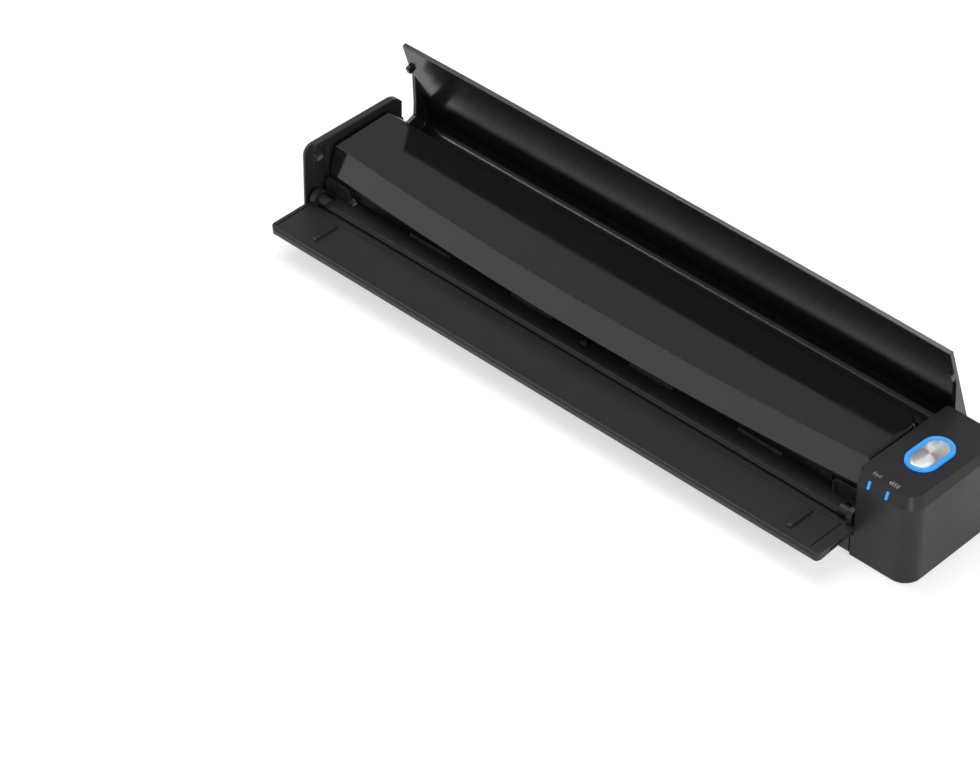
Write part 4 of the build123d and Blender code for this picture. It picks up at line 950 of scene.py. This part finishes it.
class SCANNER_OT_screws(bpy.types.Operator):
    """Makes the case screws with cross recesses and threads"""

    bl_idname = "scanner.screws"
    bl_label = "Case screws"

    def execute(self, context):
        shape = bmesh.new()
        for low, high in loose_parts("case_screws"):
            middle, size = (low + high) / 2, high - low
            if size.z > size.x:
                add_screw(shape, Vector((middle.x, middle.y, low.z)), Matrix.Identity(4), size.z)
            else:
                turn = Matrix.Rotation(-QUARTER_TURN, 4, "Y")
                add_screw(shape, Vector((high.x, middle.y, middle.z)), turn, size.x)
        finish_piece(shape, "cross_screws", "steel_bright", body_of("case_screws"), "case_screws")
        return {"FINISHED"}


class SCANNER_OT_tyres(bpy.types.Operator):
    """Makes the rubber tyres of both rollers, with fine grooves"""

    bl_idname = "scanner.tyres"
    bl_label = "Tyres"

    def execute(self, context):
        bore, chamfer = 2.05 * MM, 0.4 * MM
        # one groove: steps along the tyre and how deep each lies
        groove = ((-0.3, 0.0), (-0.15, 0.18), (0.15, 0.18), (0.3, 0.0))
        for node in ("feed_tyres", "eject_tyres"):
            shape = bmesh.new()
            for low, high in loose_parts(node):
                middle = (low + high) / 2
                radius = (high.z - low.z) / 2
                half = (high.x - low.x) / 2
                profile = [(-half, bore), (-half, radius - chamfer), (-half + chamfer, radius)]
                for place in range(-4, 5):
                    for step, sink in groove:
                        profile.append((place * half / 5 + step * MM, radius - sink * MM))
                profile += [(half - chamfer, radius), (half, radius - chamfer), (half, bore)]
                verts = [
                    bmesh.ops.create_vert(shape, co=(middle.x + x, middle.y, middle.z + r))["vert"][0]
                    for x, r in profile
                ]
                edges = [shape.edges.new(pair) for pair in zip(verts, verts[1:] + verts[:1])]
                bmesh.ops.spin(
                    shape,
                    geom=verts + edges,
                    cent=middle,
                    axis=(1.0, 0.0, 0.0),
                    angle=math.tau,
                    steps=40,
                    use_merge=True,
                    use_duplicate=False,
                )
            name = node.replace("tyres", "roller_tyres")
            finish_piece(shape, name, "tyre_grey", body_of(node), node, smooth=30.0)
        return {"FINISHED"}


class SCANNER_OT_feet(bpy.types.Operator):
    """Makes the rubber feet with their hollow soles"""

    bl_idname = "scanner.feet"
    bl_label = "Feet"

    def execute(self, context):
        # the rounding of a pad, and the flat rim, sloping side and depth of its hollow sole
        rounding, rim, slant, hollow = 0.3 * MM, 0.6 * MM, 0.3 * MM, 0.2 * MM
        shape = bmesh.new()
        for low, high in loose_parts("rubber_feet"):
            size, middle = high - low, (low + high) / 2
            before = set(shape.faces)
            long_pad = size.x > size.y * 1.5
            if long_pad:
                flat_bar(shape, middle.x, middle.y, high.z, size.x, size.y)
            else:
                centre = (middle.x, middle.y, high.z)
                pill_loop(shape, centre, size.x / 2, 0.0, filled=True, segments=40)
            pad = [f for f in shape.faces if f not in before]
            sole = raise_faces(shape, pad, low.z - high.z)
            round_edges(shape, sole[0].edges, rounding, 3)
            bmesh.ops.recalc_face_normals(shape, faces=shape.faces)
            foot = [f for f in shape.faces if f not in before]
            sole = min(foot, key=lambda face: face.calc_center_median().z)
            bmesh.ops.inset_individual(shape, faces=[sole], thickness=rim, depth=0.0)
            bmesh.ops.inset_individual(shape, faces=[sole], thickness=slant, depth=-hollow)
        finish_piece(shape, "soft_feet", "rubber_black", body_of("rubber_feet"), "rubber_feet")
        return {"FINISHED"}


# ---- stage ----


def pale_material(colour):
    """Smooth pale floor, lit a little from below as on a light table."""
    material, tree, shader, place = start_material("pale_floor")
    cloud = put(tree, "ShaderNodeTexNoise", {"Vector": place, "Scale": 4.0, "Detail": 2.0})
    tint = blend(tree, cloud.outputs["Fac"], colour, shade(colour, 0.99))
    tree.links.new(tint, shader.inputs["Base Color"])
    tree.links.new(tint, shader.inputs["Emission Color"])
    shader.inputs["Emission Strength"].default_value = 1.2
    shader.inputs["Roughness"].default_value = 0.9
    shader.inputs["Specular IOR Level"].default_value = 0.1
    return material


def studio_sky():
    """White near the horizon and dark above, as in a studio with a bright sweep."""
    world = bpy.data.worlds.new("studio")
    world.use_nodes = True
    tree = world.node_tree
    direction = tree.nodes.new("ShaderNodeTexCoord").outputs["Generated"]
    upward = put(tree, "ShaderNodeSeparateXYZ", {"Vector": direction})
    ramp = put(tree, "ShaderNodeValToRGB", {"Fac": upward.outputs["Z"]})
    stops = ramp.color_ramp.elements
    stops[0].position, stops[0].color = 0.0, (0.9, 0.91, 0.92, 1.0)
    stops[1].position, stops[1].color = 1.0, (0.35, 0.35, 0.35, 1.0)
    # direction from the horizon to straight up, and the brightness there
    for position, level in ((0.15, 0.75), (0.35, 0.5), (0.65, 0.5), (0.85, 0.4)):
        stops.new(position).color = (level, level, level * 1.01, 1.0)
    tree.links.new(ramp.outputs["Color"], tree.nodes["Background"].inputs["Color"])
    tree.nodes["Background"].inputs["Strength"].default_value = 1.0
    return world


def soft_light(name, place, target, width, depth, power):
    """A large soft box that faces a point."""
    data = bpy.data.lights.new(name, "AREA")
    data.shape = "RECTANGLE"
    data.size, data.size_y, data.energy = width, depth, power
    lamp = bpy.data.objects.new(name, data)
    lamp.location = place
    lamp.visible_camera = False
    lamp.rotation_euler = (Vector(target) - Vector(place)).to_track_quat("-Z", "Y").to_euler()
    bpy.context.scene.collection.objects.link(lamp)


def make_camera(stage):
    """The camera, from the place that the photograph was taken from."""
    target = Vector((-30.3, -41.5, 0.0)) * MM
    around, above, roll = stage.azimuth, stage.elevation, stage.roll
    level = math.cos(above)
    back = Vector((math.sin(around) * level, -math.cos(around) * level, math.sin(above)))
    right = Vector((math.cos(around), math.sin(around), 0.0))
    up = back.cross(right)
    across = right * math.cos(roll) - up * math.sin(roll)
    upward = right * math.sin(roll) + up * math.cos(roll)
    data = bpy.data.cameras.new("camera")
    data.sensor_width = 36.0
    data.sensor_fit = "HORIZONTAL"
    data.lens = stage.lens
    data.clip_start, data.clip_end = 0.05, 20.0
    camera = bpy.data.objects.new("camera", data)
    turn = Matrix((across, upward, back)).transposed().to_4x4()
    camera.matrix_world = Matrix.Translation(target + back * stage.distance) @ turn
    bpy.context.scene.collection.objects.link(camera)
    bpy.context.scene.camera = camera


class SCANNER_OT_stage(bpy.types.Operator):
    """Makes the floor, the lights and the camera"""

    bl_idname = "scanner.stage"
    bl_label = "Stage"

    def execute(self, context):
        stage = context.scene.scanner_stage
        mesh = bpy.data.meshes.new("floor")
        shape = bmesh.new()
        bmesh.ops.create_grid(shape, x_segments=2, y_segments=2, size=FLOOR_HALF)
        shape.to_mesh(mesh)
        shape.free()
        mesh.materials.append(pale_material(tuple(stage.floor_colour)))
        floor = bpy.data.objects.new("floor", mesh)
        context.scene.collection.objects.link(floor)
        context.scene.world = studio_sky()
        centre, block_side = (0, 0, 0), (0.12, 0, 0.03)
        soft_light("overhead_box", (-0.2, 0.25, 1.5), centre, width=1.0, depth=0.8, power=9.0)
        soft_light("side_box", (1.7, -0.4, 0.9), centre, width=1.2, depth=1.0, power=16.0)
        soft_light("left_box", (-1.0, -0.15, 1.45), centre, width=0.5, depth=0.5, power=7.0)
        soft_light("low_box", (1.25, -1.18, 0.16), block_side, width=0.5, depth=0.28, power=5.0)
        context.scene.view_settings.view_transform = "Standard"
        make_camera(stage)
        return {"FINISHED"}


class SCANNER_OT_materials(bpy.types.Operator):
    """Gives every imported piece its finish"""

    bl_idname = "scanner.materials"
    bl_label = "Materials"

    def execute(self, context):
        finish = context.scene.scanner_finish
        make_materials(finish)
        dress_nodes(finish)
        return {"FINISHED"}


class SCANNER_PT_pieces(bpy.types.Panel):
    """Finishes, stage and pieces of the scanner"""

    bl_idname = "SCANNER_PT_pieces"
    bl_label = "Document scanner"
    bl_space_type = "VIEW_3D"
    bl_region_type = "UI"
    bl_category = "Scanner"

    def draw(self, context):
        layout = self.layout
        for group in (context.scene.scanner_finish, context.scene.scanner_stage):
            column = layout.column(align=True)
            for name in group.bl_rna.properties.keys():
                if name not in {"rna_type", "name"}:
                    column.prop(group, name)
        column = layout.column(align=True)
        for operator in OPERATORS:
            column.operator(operator.bl_idname)


OPERATORS = (
    SCANNER_OT_materials,
    SCANNER_OT_scan_button,
    SCANNER_OT_glow_ring,
    SCANNER_OT_lamps,
    SCANNER_OT_symbols,
    SCANNER_OT_catch,
    SCANNER_OT_screws,
    SCANNER_OT_tyres,
    SCANNER_OT_feet,
    SCANNER_OT_stage,
)
CLASSES = (ScannerFinish, ScannerStage, *OPERATORS, SCANNER_PT_pieces)


def register():
    for item in CLASSES:
        bpy.utils.register_class(item)
    bpy.types.Scene.scanner_finish = PointerProperty(type=ScannerFinish)
    bpy.types.Scene.scanner_stage = PointerProperty(type=ScannerStage)


def unregister():
    del bpy.types.Scene.scanner_stage
    del bpy.types.Scene.scanner_finish
    for item in reversed(CLASSES):
        bpy.utils.unregister_class(item)


def main():
    register()
    bpy.ops.scanner.materials()
    bpy.ops.scanner.scan_button()
    bpy.ops.scanner.glow_ring()
    bpy.ops.scanner.lamps()
    bpy.ops.scanner.symbols()
    bpy.ops.scanner.catch()
    bpy.ops.scanner.screws()
    bpy.ops.scanner.tyres()
    bpy.ops.scanner.feet()
    bpy.ops.scanner.stage()


if __name__ == "__main__":
    main()
